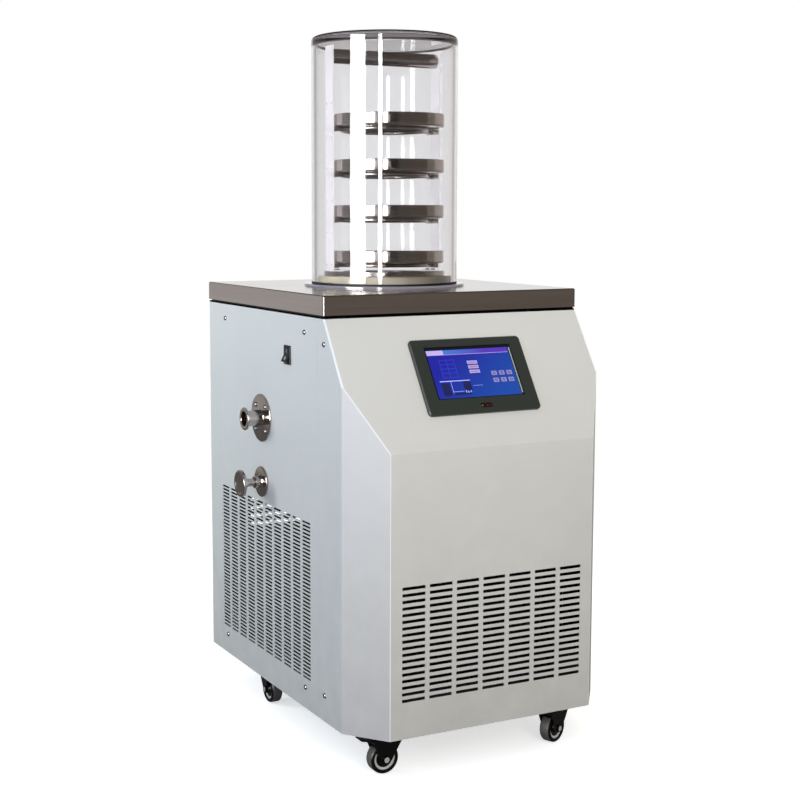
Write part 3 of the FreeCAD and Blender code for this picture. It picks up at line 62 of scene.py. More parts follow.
SEAM_SHADOW = 0.0052    # height of the painted shadow in the gap under the steel top
SHELL_DEPTH = 0.00135   # how far behind the cabinet's faces the black painted shade inside it begins
SLOT_DEPTH = 0.0002     # how far behind them the painted shade on the edges of the slots begins
BEND_START = 0.00012    # how far behind them the painted highlight on a bend begins
BEND_END = 0.00028      # and how far behind them it is brightest
LARGE_AREA = 0.02       # area over which a flat stretch of the cabinet counts as an outer face
LEAST_REACH = 0.05      # least distance of an outer face from the origin
HEAD_SHARE = 0.28       # height of a screw head over its diameter
FIELD_STEP = 0.00004    # height of each printed or lit layer over the last
MARK_STEP = 0.00006     # height of the marks on the rocker
AXLE_END = 0.0045       # radius of the bare end of an axle
MERGE = 0.000001        # distance within which two points are one
SHARP_ANGLE = math.radians(35)


# ---------------------------------------------------------------- sizes and colours

def length(label, default, description):
    return bpy.props.FloatProperty(name=label, default=default, description=description,
                                   subtype="DISTANCE", unit="LENGTH", precision=5)


def colour(label, red, green, blue, description):
    """A colour property, given as it shows on a screen."""
    linear = [linear_value(channel / 255) for channel in (red, green, blue)]
    return bpy.props.FloatVectorProperty(name=label, default=linear, description=description,
                                         subtype="COLOR", size=3, min=0, max=1)


def linear_value(channel):
    return channel / 12.92 if channel <= 0.04045 else ((channel + 0.055) / 1.055) ** 2.4


class DryerSizes(bpy.types.PropertyGroup):
    """Sizes of what the frame does not carry."""
    trap_radius: length("Trap radius", 0.106, "Inner radius of the cold trap")
    ring_bore: length("Ring bore", 0.084, "Bore radius of the cream ring")
    base_bore: length("Rack base bore", 0.070, "Bore radius of the base of the rack")
    port_bore: length("Port bore", 0.013, "Bore radius of the vacuum port")
    port_tube: length("Port tube", 0.014, "Outer radius of the tube of the vacuum port")
    port_rim: length("Port rim", 0.020, "Radius of the clamping rim of the vacuum port")
    stem: length("Valve stem", 0.007, "Radius of the stem of the release valve")
    drum_wall: length("Drum wall", 0.008, "Wall of the clear drum")
    drum_top: length("Drum top", 0.013, "Thickness of the top of the clear drum")
    drum_round: length("Drum round", 0.008, "Radius of the upper edge of the clear drum")
    shelf_rod: length("Shelf rod", 0.0033, "Radius of the rod of the shelf rings")
    block_depth: length("Block depth", 0.010, "Depth of the end blocks of the shelf rings")
    upright_width: length("Upright width", 0.030, "Width of the uprights and of the end blocks")
    tray_wall: length("Tray wall", 0.001, "Sheet of the trays")
    tray_bead: length("Tray bead", 0.0012, "Radius of the rolled rim of a tray")
    coat_grain: length("Coat grain", 0.0009, "Size of the orange peel in the powder coat")
    # The mask reaches most of the way up, so besides dust it paints shade: the coat darkens towards the floor
    # as the light falls off.
    grime_height: length("Grime height", 0.62, "Height above the cabinet's foot up to which dust gathers")


class DryerColours(bpy.types.PropertyGroup):
    """Base colours of the finishes."""
    # The coat's tone is set lighter to make up for that painted shade; the dust tone colours both the dust
    # and the painted shade.
    coat: colour("Powder coat", 224, 224, 221, "Cabinet paint")
    coat_dust: colour("Dust", 165, 163, 159, "Dust on the paint")
    steel: colour("Stainless", 208, 200, 195, "Brushed and polished stainless steel")
    zinc: colour("Zinc", 168, 170, 172, "Plated steel")
    bezel: colour("Bezel", 52, 58, 53, "Frame of the screen")
    black: colour("Black plastic", 17, 17, 19, "Inner frame, fan, screen housing and mains inlet")
    tread: colour("Wheel tread", 88, 84, 79, "Tread of the caster wheels")
    dish: colour("Wheel dish", 200, 200, 198, "Dished face of the caster wheels")
    # The pale tone of the dished faces is a painted highlight on the ring of the hub.
    enamel: colour("Enamel", 7, 7, 8, "Caster plates, forks and pedals, and the rocker switch")
    clear: colour("Clear acrylic", 247, 247, 248, "Surface of the clear drum")
    depth: colour("Acrylic depth", 219, 216, 221, "Tone of the clear drum where it is thick")
    violet: colour("Tinted acrylic", 156, 152, 166, "Flange under the drum")
    cream: colour("Cream ring", 228, 220, 198, "Ring under the rack")
    rubber: colour("Seal", 14, 14, 15, "Drum seal and compressor mounts")
    # The foam, the machinery and the fins are dark partly in their own colours and partly as painted shade,
    # which keeps the inside of the cabinet dark through the slots.
    foam: colour("Foam", 52, 51, 50, "Insulation")
    machine: colour("Machine paint", 38, 39, 41, "Compressor, shroud and control box")
    copper: colour("Copper", 184, 115, 86, "Refrigerant pipe")
    fins: colour("Aluminium", 92, 93, 95, "Fins of the condenser")


def sizes():
    return bpy.context.scene.dryer_sizes


def colours():
    return bpy.context.scene.dryer_colours


def scaled(tint, share):
    return [channel * share for channel in tint]


# ---------------------------------------------------------------- nodes

def fill(tree, node, inputs):
    """Links each given socket to the input of that name or number, or writes the given value into it."""
    for key, given in inputs.items():
        if isinstance(given, bpy.types.NodeSocket):
            tree.links.new(given, node.inputs[key])
        else:
            node.inputs[key].default_value = given


def add_node(tree, kind, settings=None, **inputs):
    """A node with its settings, and its inputs by name. A name like _2 is the input's number."""
    node = tree.nodes.new(kind)
    for key, setting in (settings or {}).items():
        setattr(node, key, setting)
    for label, given in inputs.items():
        key = int(label[1:]) if label[0] == "_" else label.replace("_", " ")
        fill(tree, node, {key: given})
    return node


def maths(tree, operation, *values, clamp=False):
    node = add_node(tree, "ShaderNodeMath", {"operation": operation, "use_clamp": clamp})
    fill(tree, node, dict(enumerate(values)))
    return node.outputs[0]


def vector(tree, operation, *values):
    node = add_node(tree, "ShaderNodeVectorMath", {"operation": operation})
    fill(tree, node, dict(enumerate(values)))
    return node.outputs["Value" if operation in ("DOT_PRODUCT", "LENGTH") else "Vector"]


def ranged(tree, value, low, high, start=0.0, end=1.0, kind="LINEAR"):
    """Spreads a value from start..end over low..high."""
    node = add_node(tree, "ShaderNodeMapRange", {"interpolation_type": kind}, Value=value,
                    From_Min=start, From_Max=end, To_Min=low, To_Max=high)
    return node.outputs["Result"]


def mixed(tree, factor, first, second):
    """A colour between two colours, each of them a socket or three numbers."""
    node = add_node(tree, "ShaderNodeMix", {"data_type": "RGBA"}, Factor=factor)
    for key, tint in ((6, first), (7, second)):
        fill(tree, node, {key: tint if isinstance(tint, bpy.types.NodeSocket) else (*tint, 1)})
    return node.outputs[2]


def noise(tree, where, scale, detail, roughness=0.5):
    node = add_node(tree, "ShaderNodeTexNoise", Vector=where, Scale=scale, Detail=detail, Roughness=roughness)
    return node.outputs["Fac"]


def bump(tree, height, distance):
    return add_node(tree, "ShaderNodeBump", Height=height, Distance=distance, Strength=1.0).outputs["Normal"]


def coordinates(tree, kind="Object"):
    return add_node(tree, "ShaderNodeTexCoord").outputs[kind]


def split(tree, given):
    return add_node(tree, "ShaderNodeSeparateXYZ", _0=given).outputs


def linked(shader, label):
    """The socket that feeds a shader's input."""
    return shader.inputs[label].links[0].from_socket


# ---------------------------------------------------------------- shader node groups

def new_group(name, inputs, outputs):
    """An empty shader node group, with what its inputs give and the node that takes its outputs."""
    group = bpy.data.node_groups.new(name, "ShaderNodeTree")
    for label, default in inputs.items():
        kind = "NodeSocketVector" if isinstance(default, tuple) else "NodeSocketFloat"
        socket = group.interface.new_socket(name=label, in_out="INPUT", socket_type=kind)
        socket.default_value = default
    for label in outputs:
        group.interface.new_socket(name=label, in_out="OUTPUT", socket_type="NodeSocketFloat")
    return group, group.nodes.new("NodeGroupInput").outputs, group.nodes.new("NodeGroupOutput")


def use_group(tree, build, **inputs):
    """The outputs of a group node. The function that builds the group has the group's name."""
    node = tree.nodes.new("ShaderNodeGroup")
    node.node_tree = bpy.data.node_groups.get(build.__name__) or build()
    for label, given in inputs.items():
        node.inputs[label.replace("_", " ")].default_value = given
    return node.outputs


def surface_grain():
    """Fine surface grain and slow variation, in the object's own coordinates."""
    group, given, sink = new_group("surface_grain", {"Size": 0.001, "Patch Size": 0.15},
                                   ("Height", "Patches"))
    where = coordinates(group)
    fill(group, sink, {
        "Height": noise(group, where, maths(group, "DIVIDE", 1.0, given["Size"]), 2.0),
        "Patches": noise(group, where, maths(group, "DIVIDE", 1.0, given["Patch Size"]), 4.0)})
    return group


def brushed_lines():
    """Long fine scratches along one axis: noise that is squeezed across it."""
    group, given, sink = new_group("brushed_lines", {"Stretch": (1.0, 1.0, 1.0), "Fineness": 900.0},
                                   ("Height", "Streaks"))
    squeezed = vector(group, "MULTIPLY", coordinates(group), given["Stretch"])
    coarse = maths(group, "MULTIPLY", given["Fineness"], 0.12)
    fill(group, sink, {"Height": noise(group, squeezed, given["Fineness"], 3.0, 0.6),
                       "Streaks": noise(group, squeezed, coarse, 2.0)})
    return group


def low_dust_with_shade():
    """A mask that grows towards the floor, broken up by noise. It stands for dust, and for painted shade
    where it reaches high up the cabinet.
    """
    group, given, sink = new_group("low_dust_with_shade", {"Foot": 0.066, "Height": 0.16, "Amount": 0.3},
                                   ("Mask",))
    where = coordinates(group)
    over = maths(group, "SUBTRACT", split(group, where)["Z"], given["Foot"])
    share = maths(group, "DIVIDE", over, given["Height"], clamp=True)
    uneven = ranged(group, noise(group, where, 28.0, 5.0), 0.7, 1.3)
    broken = maths(group, "MULTIPLY", maths(group, "SUBTRACT", 1.0, share), uneven)
    fill(group, sink, {"Mask": maths(group, "MULTIPLY", broken, given["Amount"], clamp=True)})
    return group


def ramp_across():
    """How far a point lies along a direction, from 0 at the start to 1 at the end."""
    group, given, sink = new_group("ramp_across", {"Direction": (1.0, 0.0, 0.0), "Start": 0.0, "End": 1.0},
                                   ("Share",))
    along = vector(group, "DOT_PRODUCT", coordinates(group), given["Direction"])
    fill(group, sink, {"Share": ranged(group, along, 0.0, 1.0, given["Start"], given["End"])})
    return group


def axle_end():
    """A mask of what lies close to an axle."""
    group, given, sink = new_group("axle_end", {"Centre": (0.0, 0.0, 0.0), "Axle": (0.0, 0.0, 1.0),
                                                "Radius": AXLE_END}, ("Mask",))
    off = vector(group, "SUBTRACT", coordinates(group), given["Centre"])
    away = vector(group, "LENGTH", vector(group, "CROSS_PRODUCT", off, given["Axle"]))
    fill(group, sink, {"Mask": maths(group, "LESS_THAN", away, given["Radius"])})
    return group


def outer_planes():
    """The normal and the reach of each large outer face of the cabinet."""
    planes = []
    for name in ("front_shell", "left_side_panel", "right_side_panel", "rear_panel"):
        for flat in facets(name):
            largest = max(flat, key=lambda polygon: polygon.area)
            reach = largest.center.dot(largest.normal)
            if area_of(flat) > LARGE_AREA and reach > LEAST_REACH:
                planes.append((largest.normal.copy(), reach))
    return planes


def shade_inside_shell():
    """Masks of the painted shade behind the cabinet's outer faces, in the gap under the top and on the edges
    of the slots, and of the painted highlight on its bends.
    """
    group, given, sink = new_group("shade_inside_shell", {"Depth": SHELL_DEPTH}, ("Mask", "Bend Highlight"))
    where = coordinates(group)
    nearest = None
    for normal, reach in outer_planes():
        short = maths(group, "SUBTRACT", vector(group, "DOT_PRODUCT", where, normal), reach)
        nearest = maths(group, "MAXIMUM", nearest, short) if nearest else short
    within = maths(group, "LESS_THAN", maths(group, "ADD", nearest, given["Depth"]), 0.0)
    # Painted shadow in the gap under the steel top.
    gap_shadow = maths(group, "GREATER_THAN", split(group, where)["Z"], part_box("top_cap")[0].z - SEAM_SHADOW)
    level = maths(group, "ABSOLUTE", split(group, coordinates(group, "Normal"))["Z"])
    edge = maths(group, "GREATER_THAN", level, 0.8)
    # Painted shade on the edges of the slots.
    slot = maths(group, "MULTIPLY", edge, maths(group, "LESS_THAN", nearest, -SLOT_DEPTH))
    shadow = maths(group, "MAXIMUM", within, gap_shadow)
    fill(group, sink, {"Mask": maths(group, "MAXIMUM", shadow, slot),
                       "Bend Highlight": ranged(group, nearest, 0.0, 1.0, -BEND_START, -BEND_END)})
    return group


# ---------------------------------------------------------------- finishes

def finish(name, build, *values, **settings):
    """The material of this name. The function build makes its nodes when it is first asked for."""
    label = f"{name}_finish"
    material = bpy.data.materials.get(label)
    if not material:
        material = bpy.data.materials.new(label)
        material.use_nodes = True
        tree = material.node_tree
        build(tree, tree.nodes["Principled BSDF"], *values, **settings)
    return material


def painted(tree, shader, tint, roughness, grain, distance, dust_and_shade=0.0, low=0.94, high=1.04):
    """Paint or powder coat: orange peel, slow patches of tone, and a darker tone towards the floor, which is
    dust and painted shade.
    """
    surface = use_group(tree, surface_grain, Size=grain, Patch_Size=0.22)
    patches = surface["Patches"]
    tone = mixed(tree, patches, scaled(tint, low), scaled(tint, high))
    if dust_and_shade:
        mask = use_group(tree, low_dust_with_shade, Height=sizes().grime_height, Amount=dust_and_shade)["Mask"]
        tone = mixed(tree, mask, tone, colours().coat_dust)
    fill(tree, shader, {
        "Base Color": tone, "Roughness": ranged(tree, patches, roughness - 0.05, roughness + 0.07),
        "Normal": bump(tree, surface["Height"], distance), "Specular IOR Level": 0.25})


def powder_coat(tree, shader):
    """Powder coat with a painted highlight on the bends, and black painted shade on whatever lies behind the
    cabinet's outer faces.
    """
    painted(tree, shader, colours().coat, 0.42, sizes().coat_grain, 0.00003, dust_and_shade=0.55)
    shell = use_group(tree, shade_inside_shell)
    within = shell["Mask"]
    # Painted highlight: the coat turns paler on the bends.
    tone = mixed(tree, shell["Bend Highlight"], linked(shader, "Base Color"), (0.97, 0.97, 0.97))
    fill(tree, shader, {
        # Black painted shade inside the cabinet, made black metal so that it shows no sheen.
        "Base Color": mixed(tree, within, tone, (0.004, 0.004, 0.004)),
        "Roughness": maths(tree, "MAXIMUM", linked(shader, "Roughness"), within), "Metallic": within})


def plastic(tree, shader, tint, roughness, grain=0.0006, distance=0.00004, lacquer=0.0):
    """Moulded plastic or rubber with a fine grain and slightly uneven gloss."""
    painted(tree, shader, tint, roughness, grain, distance, low=0.88, high=1.1)
    fill(tree, shader, {"Specular IOR Level": 0.5, "Coat Weight": lacquer})


def enamel(tree, shader, roughness=0.2):
    """Gloss black enamel or hard black plastic."""
    plastic(tree, shader, colours().enamel, roughness, 0.001, 0.00001)
    fill(tree, shader, {"Specular IOR Level": 0.3})


def fork_enamel(tree, shader, centre, axle):
    """Gloss enamel with the axle's bare end in its middle."""
    enamel(tree, shader)
    mask = use_group(tree, axle_end, Centre=centre, Axle=axle)["Mask"]
    fill(tree, shader, {"Base Color": mixed(tree, mask, linked(shader, "Base Color"), colours().zinc)})


def frosted(tree, shader, tint, share):
    """Milky acrylic that lets a share of the light through. Its faint glow stands for light in the drum."""
    plastic(tree, shader, tint, 0.2, 0.004, 0.000004)
    fill(tree, shader, {"Transmission Weight": share, "Emission Color": (*tint, 1),
                        "Emission Strength": 0.32})


def brushed(tree, shader, tint, stretch, roughness, distance=0.00002, fineness=900.0, low=0.82, high=1.06):
    """Brushed metal: streaks of gloss and tone along one axis."""
    lines = use_group(tree, brushed_lines, Stretch=stretch, Fineness=fineness)
    streaks = lines["Streaks"]
    fill(tree, shader, {
        "Base Color": mixed(tree, streaks, scaled(tint, low), scaled(tint, high)),
        "Roughness": ranged(tree, streaks, roughness * 0.7, roughness * 1.35),
        "Metallic": 1.0, "Normal": bump(tree, lines["Height"], distance)})


def cap_steel(tree, shader):
    """Brushed steel, polished on top, with level brush lines. The top and the lips get lit and shaded tints
    of one steel, which is painted light and shade, with painted shade on the corner bends and a black painted
    shadow on the faces that look down.
    """
    normal = split(tree, coordinates(tree, "Normal"))
    flat = maths(tree, "GREATER_THAN", normal["Z"], 0.7)
    top = use_group(tree, brushed_lines, Stretch=(0.02, 1.0, 1.0), Fineness=900.0)
    lip = use_group(tree, brushed_lines, Stretch=(0.02, 0.02, 1.0), Fineness=900.0)

    def chosen(label):
        return add_node(tree, "ShaderNodeMix", Factor=flat, _2=lip[label], _3=top[label]).outputs[0]

    tint = colours().steel
    streaks = chosen("Streaks")
    # Painted shade on the corner bends, where the normal lies between X and Y.
    skew = maths(tree, "ABSOLUTE", maths(tree, "MULTIPLY", normal["X"], normal["Y"]))
    bend = ranged(tree, skew, 0.0, 1.0, 0.05, 0.2)
    # Lit and shaded tints of one steel for the lips and the top: painted light and shade.
    dark = mixed(tree, streaks, scaled(tint, 0.84), scaled(tint, 1.08))
    corner_shade = mixed(tree, bend, dark, (0.16, 0.155, 0.15))
    light = mixed(tree, streaks, scaled(tint, 0.74), scaled(tint, 0.94))
    # Black painted shadow on the faces that look down, under the lips.
    under = maths(tree, "GREATER_THAN", normal["Z"], -0.3)
    gloss = ranged(tree, flat, 0.15, 0.11)
    fill(tree, shader, {
        "Base Color": mixed(tree, under, (0.01, 0.01, 0.01), mixed(tree, flat, corner_shade, light)),
        "Roughness": maths(tree, "MULTIPLY_ADD", streaks, 0.08, gloss),
        "Metallic": 1.0, "Normal": bump(tree, chosen("Height"), 0.00001)})


def clear(tree, shader):
    """Clear acrylic with faint wipe marks in its gloss, which shows the depth colour where it is thick."""
    surface = use_group(tree, surface_grain, Size=0.004, Patch_Size=0.06)
    fill(tree, shader, {"Base Color": (*colours().clear, 1), "Transmission Weight": 1.0, "IOR": 1.49,
                        "Roughness": ranged(tree, surface["Patches"], 0.012, 0.0264)})
    inside = add_node(tree, "ShaderNodeVolumeAbsorption", Color=(*colours().depth, 1), Density=10.0)
    fill(tree, tree.nodes["Material Output"], {"Volume": inside.outputs["Volume"]})


def lit(tree, shader, strength, roughness, first, second, effect, **inputs):
    """A lit field, whose colour lies between two colours as the last output of an effect says."""
    tone = mixed(tree, use_group(tree, effect, **inputs)[-1], first, second)
    fill(tree, shader, {"Base Color": tone, "Emission Color": tone, "Emission Strength": strength,
                        "Roughness": roughness})


def glowing(name, tint, strength):
    """A field of one colour on the display."""
    return finish(name, lit, strength, 0.2, scaled(tint, 0.92), scaled(tint, 1.06), surface_grain,
                  Size=0.0012, Patch_Size=0.02)


def satin_steel():
    return finish("satin_stainless", brushed, colours().steel, (1.0, 1.0, 1.0), 0.2, 0.00001, 700.0)


def turned_steel(name, share, roughness):
    return finish(name, brushed, scaled(colours().steel, share), (6.0, 0.4, 0.4), roughness)


def black_plastic():
    return finish("black_plastic", plastic, colours().black, 0.32)


# ---------------------------------------------------------------- mesh tools

def new_object(name, data):
    item = bpy.data.objects.new(name, data)
    bpy.context.scene.collection.objects.link(item)
    return item


def mesh_from(name, vertices, faces):
    mesh = bpy.data.meshes.new(name)
    mesh.from_pydata([tuple(v) for v in vertices], [], faces)
    mesh.update()
    return mesh


@contextmanager
def reshaped(mesh):
    """A working copy of a new mesh, which is written back at the end."""
    work = bmesh.new()
    work.from_mesh(mesh)
    yield work
    work.to_mesh(mesh)
    work.free()


def outward(mesh, merge=0.0):
    """Turns every face outwards, after merging points that lie closer than a distance."""
    with reshaped(mesh) as work:
        if merge:
            bmesh.ops.remove_doubles(work, verts=work.verts, dist=merge)
        bmesh.ops.recalc_face_normals(work, faces=work.faces)


def smooth(mesh):
    """Smooth shading, with a sharp edge wherever the surface turns by more than SHARP_ANGLE."""
    mesh.shade_smooth()
    mesh.set_sharp_from_angle(angle=SHARP_ANGLE)


def joined(name, meshes):
    """One mesh of several, each with its own material index kept."""
    result = bpy.data.meshes.new(name)
    with reshaped(result) as work:
        for mesh in meshes:
            work.from_mesh(mesh)
    smooth(result)
    return result


def circle(radius, steps, x=0.0, y=0.0):
    turns = [2 * math.pi * k / steps for k in range(steps)]
    return [(x + radius * math.cos(turn), y + radius * math.sin(turn)) for turn in turns]


def rounded(corners, steps=6):
    """A closed outline of (x, y, radius) corners, with an arc of steps wherever the radius is not 0."""
    points = []
    for i, (x, y, radius) in enumerate(corners):
        here = Vector((x, y))
        if radius <= 0:
            points.append(here)
            continue
        before = (Vector(corners[i - 1][:2]) - here).normalized()
        after = (Vector(corners[(i + 1) % len(corners)][:2]) - here).normalized()
        half = before.angle(after) / 2
        centre = here + (before + after).normalized() * (radius / math.sin(half))
        start = here + before * (radius / math.tan(half)) - centre
        end = here + after * (radius / math.tan(half)) - centre
        sweep = math.atan2(start.x * end.y - start.y * end.x, start.dot(end))
        points += [centre + Matrix.Rotation(sweep * k / steps, 2) @ start for k in range(steps + 1)]
    return points


def box_loop(left, low, right, high, radius=0.0, steps=6):
    corners = ((left, low), (right, low), (right, high), (left, high))
    return rounded([(*corner, radius) for corner in corners], steps)


def lathe(name, profile, steps=128):
    """Revolves a closed outline of (radius, height) round Z. Points on the axis are shared."""
    vertices = []
    rings = []
    for radius, height in profile:
        ring = circle(radius, steps) if radius > MERGE else [(0, 0)]
        rings.append([len(vertices) + k % len(ring) for k in range(steps)])
        vertices += [(x, y, height) for x, y in ring]
    faces = []
    for i, lower in enumerate(rings):
        upper = rings[(i + 1) % len(rings)]
        for k in range(steps):
            n = (k + 1) % steps
            face = list(dict.fromkeys([lower[k], lower[n], upper[n], upper[k]]))
            if len(face) > 2:
                faces.append(face)
    mesh = mesh_from(name, vertices, faces)
    outward(mesh)
    smooth(mesh)
    return mesh


def bar(name, path, radius, steps=16):
    """A round bar along a path of points."""
    points = [Vector(p) for p in path]
    last = len(points) - 1
    vertices = []
    across = (points[1] - points[0]).orthogonal().normalized()
    for i, here in enumerate(points):
        way = (points[min(i + 1, last)] - points[max(i - 1, 0)]).normalized()
        across = (across - way * across.dot(way)).normalized()
        side = way.cross(across)
        vertices += [here + radius * (x * across + y * side) for x, y in circle(1.0, steps)]
    rings = [[i * steps + k for k in range(steps)] for i in range(last + 1)]
    faces = [[lower[k], lower[(k + 1) % steps], upper[(k + 1) % steps], upper[k]]
             for lower, upper in zip(rings, rings[1:]) for k in range(steps)]
    faces += [rings[0][::-1], rings[-1]]
    mesh = mesh_from(name, vertices, faces)
    outward(mesh)
    smooth(mesh)
    return mesh


def plate(name, loop, thickness, edge, steps=4):
    """A flat plate from a closed outline, with rounded edges, from z=0 up."""
    curve = bpy.data.curves.new(name, "CURVE")
    curve.dimensions = "2D"
    curve.fill_mode = "BOTH"
    spline = curve.splines.new("POLY")
    spline.points.add(len(loop) - 1)
    for point, spot in zip(spline.points, loop):
        point.co = (*spot, 0, 1)
    spline.use_cyclic_u = True
    curve.extrude = thickness / 2 - edge
    curve.bevel_depth = edge
    curve.bevel_resolution = steps
    curve.offset = -edge
    shape = new_object(name, curve)
    mesh = bpy.data.meshes.new_from_object(shape.evaluated_get(bpy.context.evaluated_depsgraph_get()))
    bpy.data.objects.remove(shape)
    bpy.data.curves.remove(curve)
    mesh.materials.clear()
    mesh.name = name
    mesh.transform(Matrix.Translation((0, 0, thickness / 2)))
    outward(mesh, merge=MERGE)
    smooth(mesh)
    return mesh


def flat_fields(name, loops, height):
    """Flat printed or lit fields from closed outlines."""
    mesh = bpy.data.meshes.new(name)
    with reshaped(mesh) as work:
        for loop in loops:
            face = work.faces.new([work.verts.new((*spot, height)) for spot in loop])
            face.normal_update()
            if face.normal.z < 0:
                face.normal_flip()
    return mesh


def ring_field(name, outer, inner, height, steps=32):
    spots = [(*spot, height) for radius in (outer, inner) for spot in circle(radius, steps)]
    faces = [(k, (k + 1) % steps, steps + (k + 1) % steps, steps + k) for k in range(steps)]
    return mesh_from(name, spots, faces)


# ---------------------------------------------------------------- places

def facing(place, axis_z, axis_x=None):
    """A matrix that puts a piece built upwards at a place, with its Z along axis_z."""
    up = Vector(axis_z).normalized()
    right = Vector(axis_x).normalized() if axis_x else up.orthogonal().normalized()
    turn = Matrix((right, up.cross(right), up)).transposed().to_4x4()
    return Matrix.Translation(place) @ turn


def extent(spots):
    """The low and high corners of the box round points."""
    return [Vector([pick(spot[i] for spot in spots) for i in range(3)]) for pick in (min, max)]


def facets(node, wanted=lambda face: True):
    """The faces of a CAD node that pass a test, gathered by the way they look."""
    groups = {}
    for face in NODES[node].data.polygons:
        if wanted(face):
            groups.setdefault(tuple(round(c, 2) for c in face.normal), []).append(face)
    return list(groups.values())


def area_of(faces):
    return sum(face.area for face in faces)


def flat_place(node, faces):
    """The normal of faces of a CAD node, and their corners."""
    vertices = NODES[node].data.vertices
    normal = sum((face.normal * face.area for face in faces), Vector()).normalized()
    return normal, [vertices[i].co for face in faces for i in face.vertices]


def face_frame(node, ahead):
    """A matrix on the middle of a node's largest flat face towards ahead, with Z out of it and X level."""
    flat = max(facets(node, lambda face: face.normal.dot(ahead) > 0.5), key=area_of)
    normal, spots = flat_place(node, flat)
    right = Vector((0, 0, 1)).cross(normal).normalized()
    middle = Vector()
    for way in (right, normal.cross(right), normal):
        spread = [spot.dot(way) for spot in spots]
        middle += way * (min(spread) + max(spread)) / 2
    return facing(middle, normal, right)


def rocker_face(upper):
    """A matrix on the middle of the upper or lower half of the rocker's shallow V face."""
    halves = sorted(facets("power_rocker", lambda face: face.normal.x < -0.7), key=area_of)[-2:]
    halves.sort(key=lambda faces: sum(face.center.z * face.area for face in faces) / area_of(faces))
    normal, spots = flat_place("power_rocker", halves[-1 if upper else 0])
    low, high = extent(spots)
    return facing((low + high) / 2, normal, Vector((0, 0, 1)).cross(normal))


def arm_of(joint):
    """A joint's place and axis, from the record."""
    for item in frame["joints"]:
        if item["name"] == joint:
            return Vector(item["pos_m"]), Vector(item["axis"]).normalized()
    raise RuntimeError(f"no joint is named {joint}")


def island_boxes(node):
    """The low and high corners of each separate solid of a CAD node."""
    work = bmesh.new()
    work.from_mesh(NODES[node].data)
    bmesh.ops.remove_doubles(work, verts=work.verts, dist=MERGE)
    left = dict.fromkeys(work.verts)
    boxes = []
    while left:
        front = [left.popitem()[0]]
        spots = []
        while front:
            vertex = front.pop()
            spots.append(vertex.co.copy())
            near = [edge.other_vert(vertex) for edge in vertex.link_edges]
            for other in near:
                if other in left:
                    del left[other]
                    front.append(other)
        boxes.append(extent(spots))
    work.free()
    return boxes


def upright(node):
    """The radius, the foot and the top of a round CAD node that stands upright."""
    low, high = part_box(node)
    return (high.x - low.x) / 2, low.z, high.z


def on_left_side(node):
    """A round node's radius, how far it reaches out of and into the left side, and a matrix on its middle."""
    low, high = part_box(node)
    centre = (low + high) / 2
    place = facing((LEFT_FACE, centre.y, centre.z), (-1, 0, 0))
    return (high.y - low.y) / 2, LEFT_FACE - low.x, LEFT_FACE - high.x, place


# ---------------------------------------------------------------- pieces

def piece(name, mesh, body, slot, materials, *replaced, place=None):
    """A finished piece: its materials, the body that carries it and the CAD nodes that it stands for."""
    item = new_object(name, mesh)
    if place:
        item.matrix_world = place
    for material in materials:
        mesh.materials.append(material)
    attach(item, body)
    if replaced:
        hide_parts(*replaced)


def turned(name, node, slot, material, corners, arc=4, steps=192, place=None):
    """A piece of the cabinet, turned from an outline with rounded corners, which stands for a CAD node."""
    mesh = lathe(name, rounded(corners, arc), steps)
    if place:
        mesh.transform(place)
    piece(name, mesh, "cabinet", slot, [material], node)


def plain_ring(inner, outer, foot, top, below, above):
    """The outline of a plain ring, with the radii of its lower and upper edges."""
    return [(inner, foot, below), (outer, foot, below), (outer, top, above), (inner, top, above)]


def dress(names, material):
    """Gives carried-over CAD nodes a material."""
    for name in names.split():
        materials = NODES[name].data.materials
        materials.clear()
        materials.append(material)


# ---------------------------------------------------------------- cabinet

class DRYER_OT_cabinet(bpy.types.Operator):
    """Paints the sheet-metal cabinet and its inner frame, and brushes its steel top"""
    bl_idname = "dryer.cabinet"
    bl_label = "Cabinet"

    def execute(self, context):
        grain = sizes().coat_grain
        dress("front_shell left_side_panel right_side_panel rear_panel",
              finish("cabinet_powder_coat", powder_coat))
        # The base pan has the cabinet's coat darkened to about an eighth: painted shade under the cabinet.
        dress("base_pan", finish("pan_coat_shade", painted, scaled(colours().coat, 0.12), 0.5, grain, 0.00003))
        dress("top_cap", finish("brushed_cap", cap_steel))
        # The inner frame is black as painted shade, which darkens the gap under the steel top.
        dress("frame_posts top_rails", finish("frame_painted_shade", painted, colours().black, 0.5, grain, 0.00003))
        return {"FINISHED"}


def screw_head(radius, height):
    """A pan head with a cross recess, seated on z=0. The recess has the second material."""
    dome = [(0, 0, 0), (radius, 0, 0), (radius, height * 0.45, height * 0.3),
            (radius * 0.7, height, height * 0.5), (0, height, 0)]
    mesh = lathe("head", rounded(dome, 4), 32)
    with reshaped(mesh) as work:
        for turn in (0, math.pi / 2):
            arm = (Matrix.Translation((0, 0, height)) @ Matrix.Rotation(turn, 4, "Z")
                   @ Matrix.Diagonal((radius * 1.1, radius * 0.24, 0.00006, 1)))
            made = bmesh.ops.create_cube(work, size=1, matrix=arm)
            for face in {face for vertex in made["verts"] for face in vertex.link_faces}:
                face.material_index = 1
    return mesh


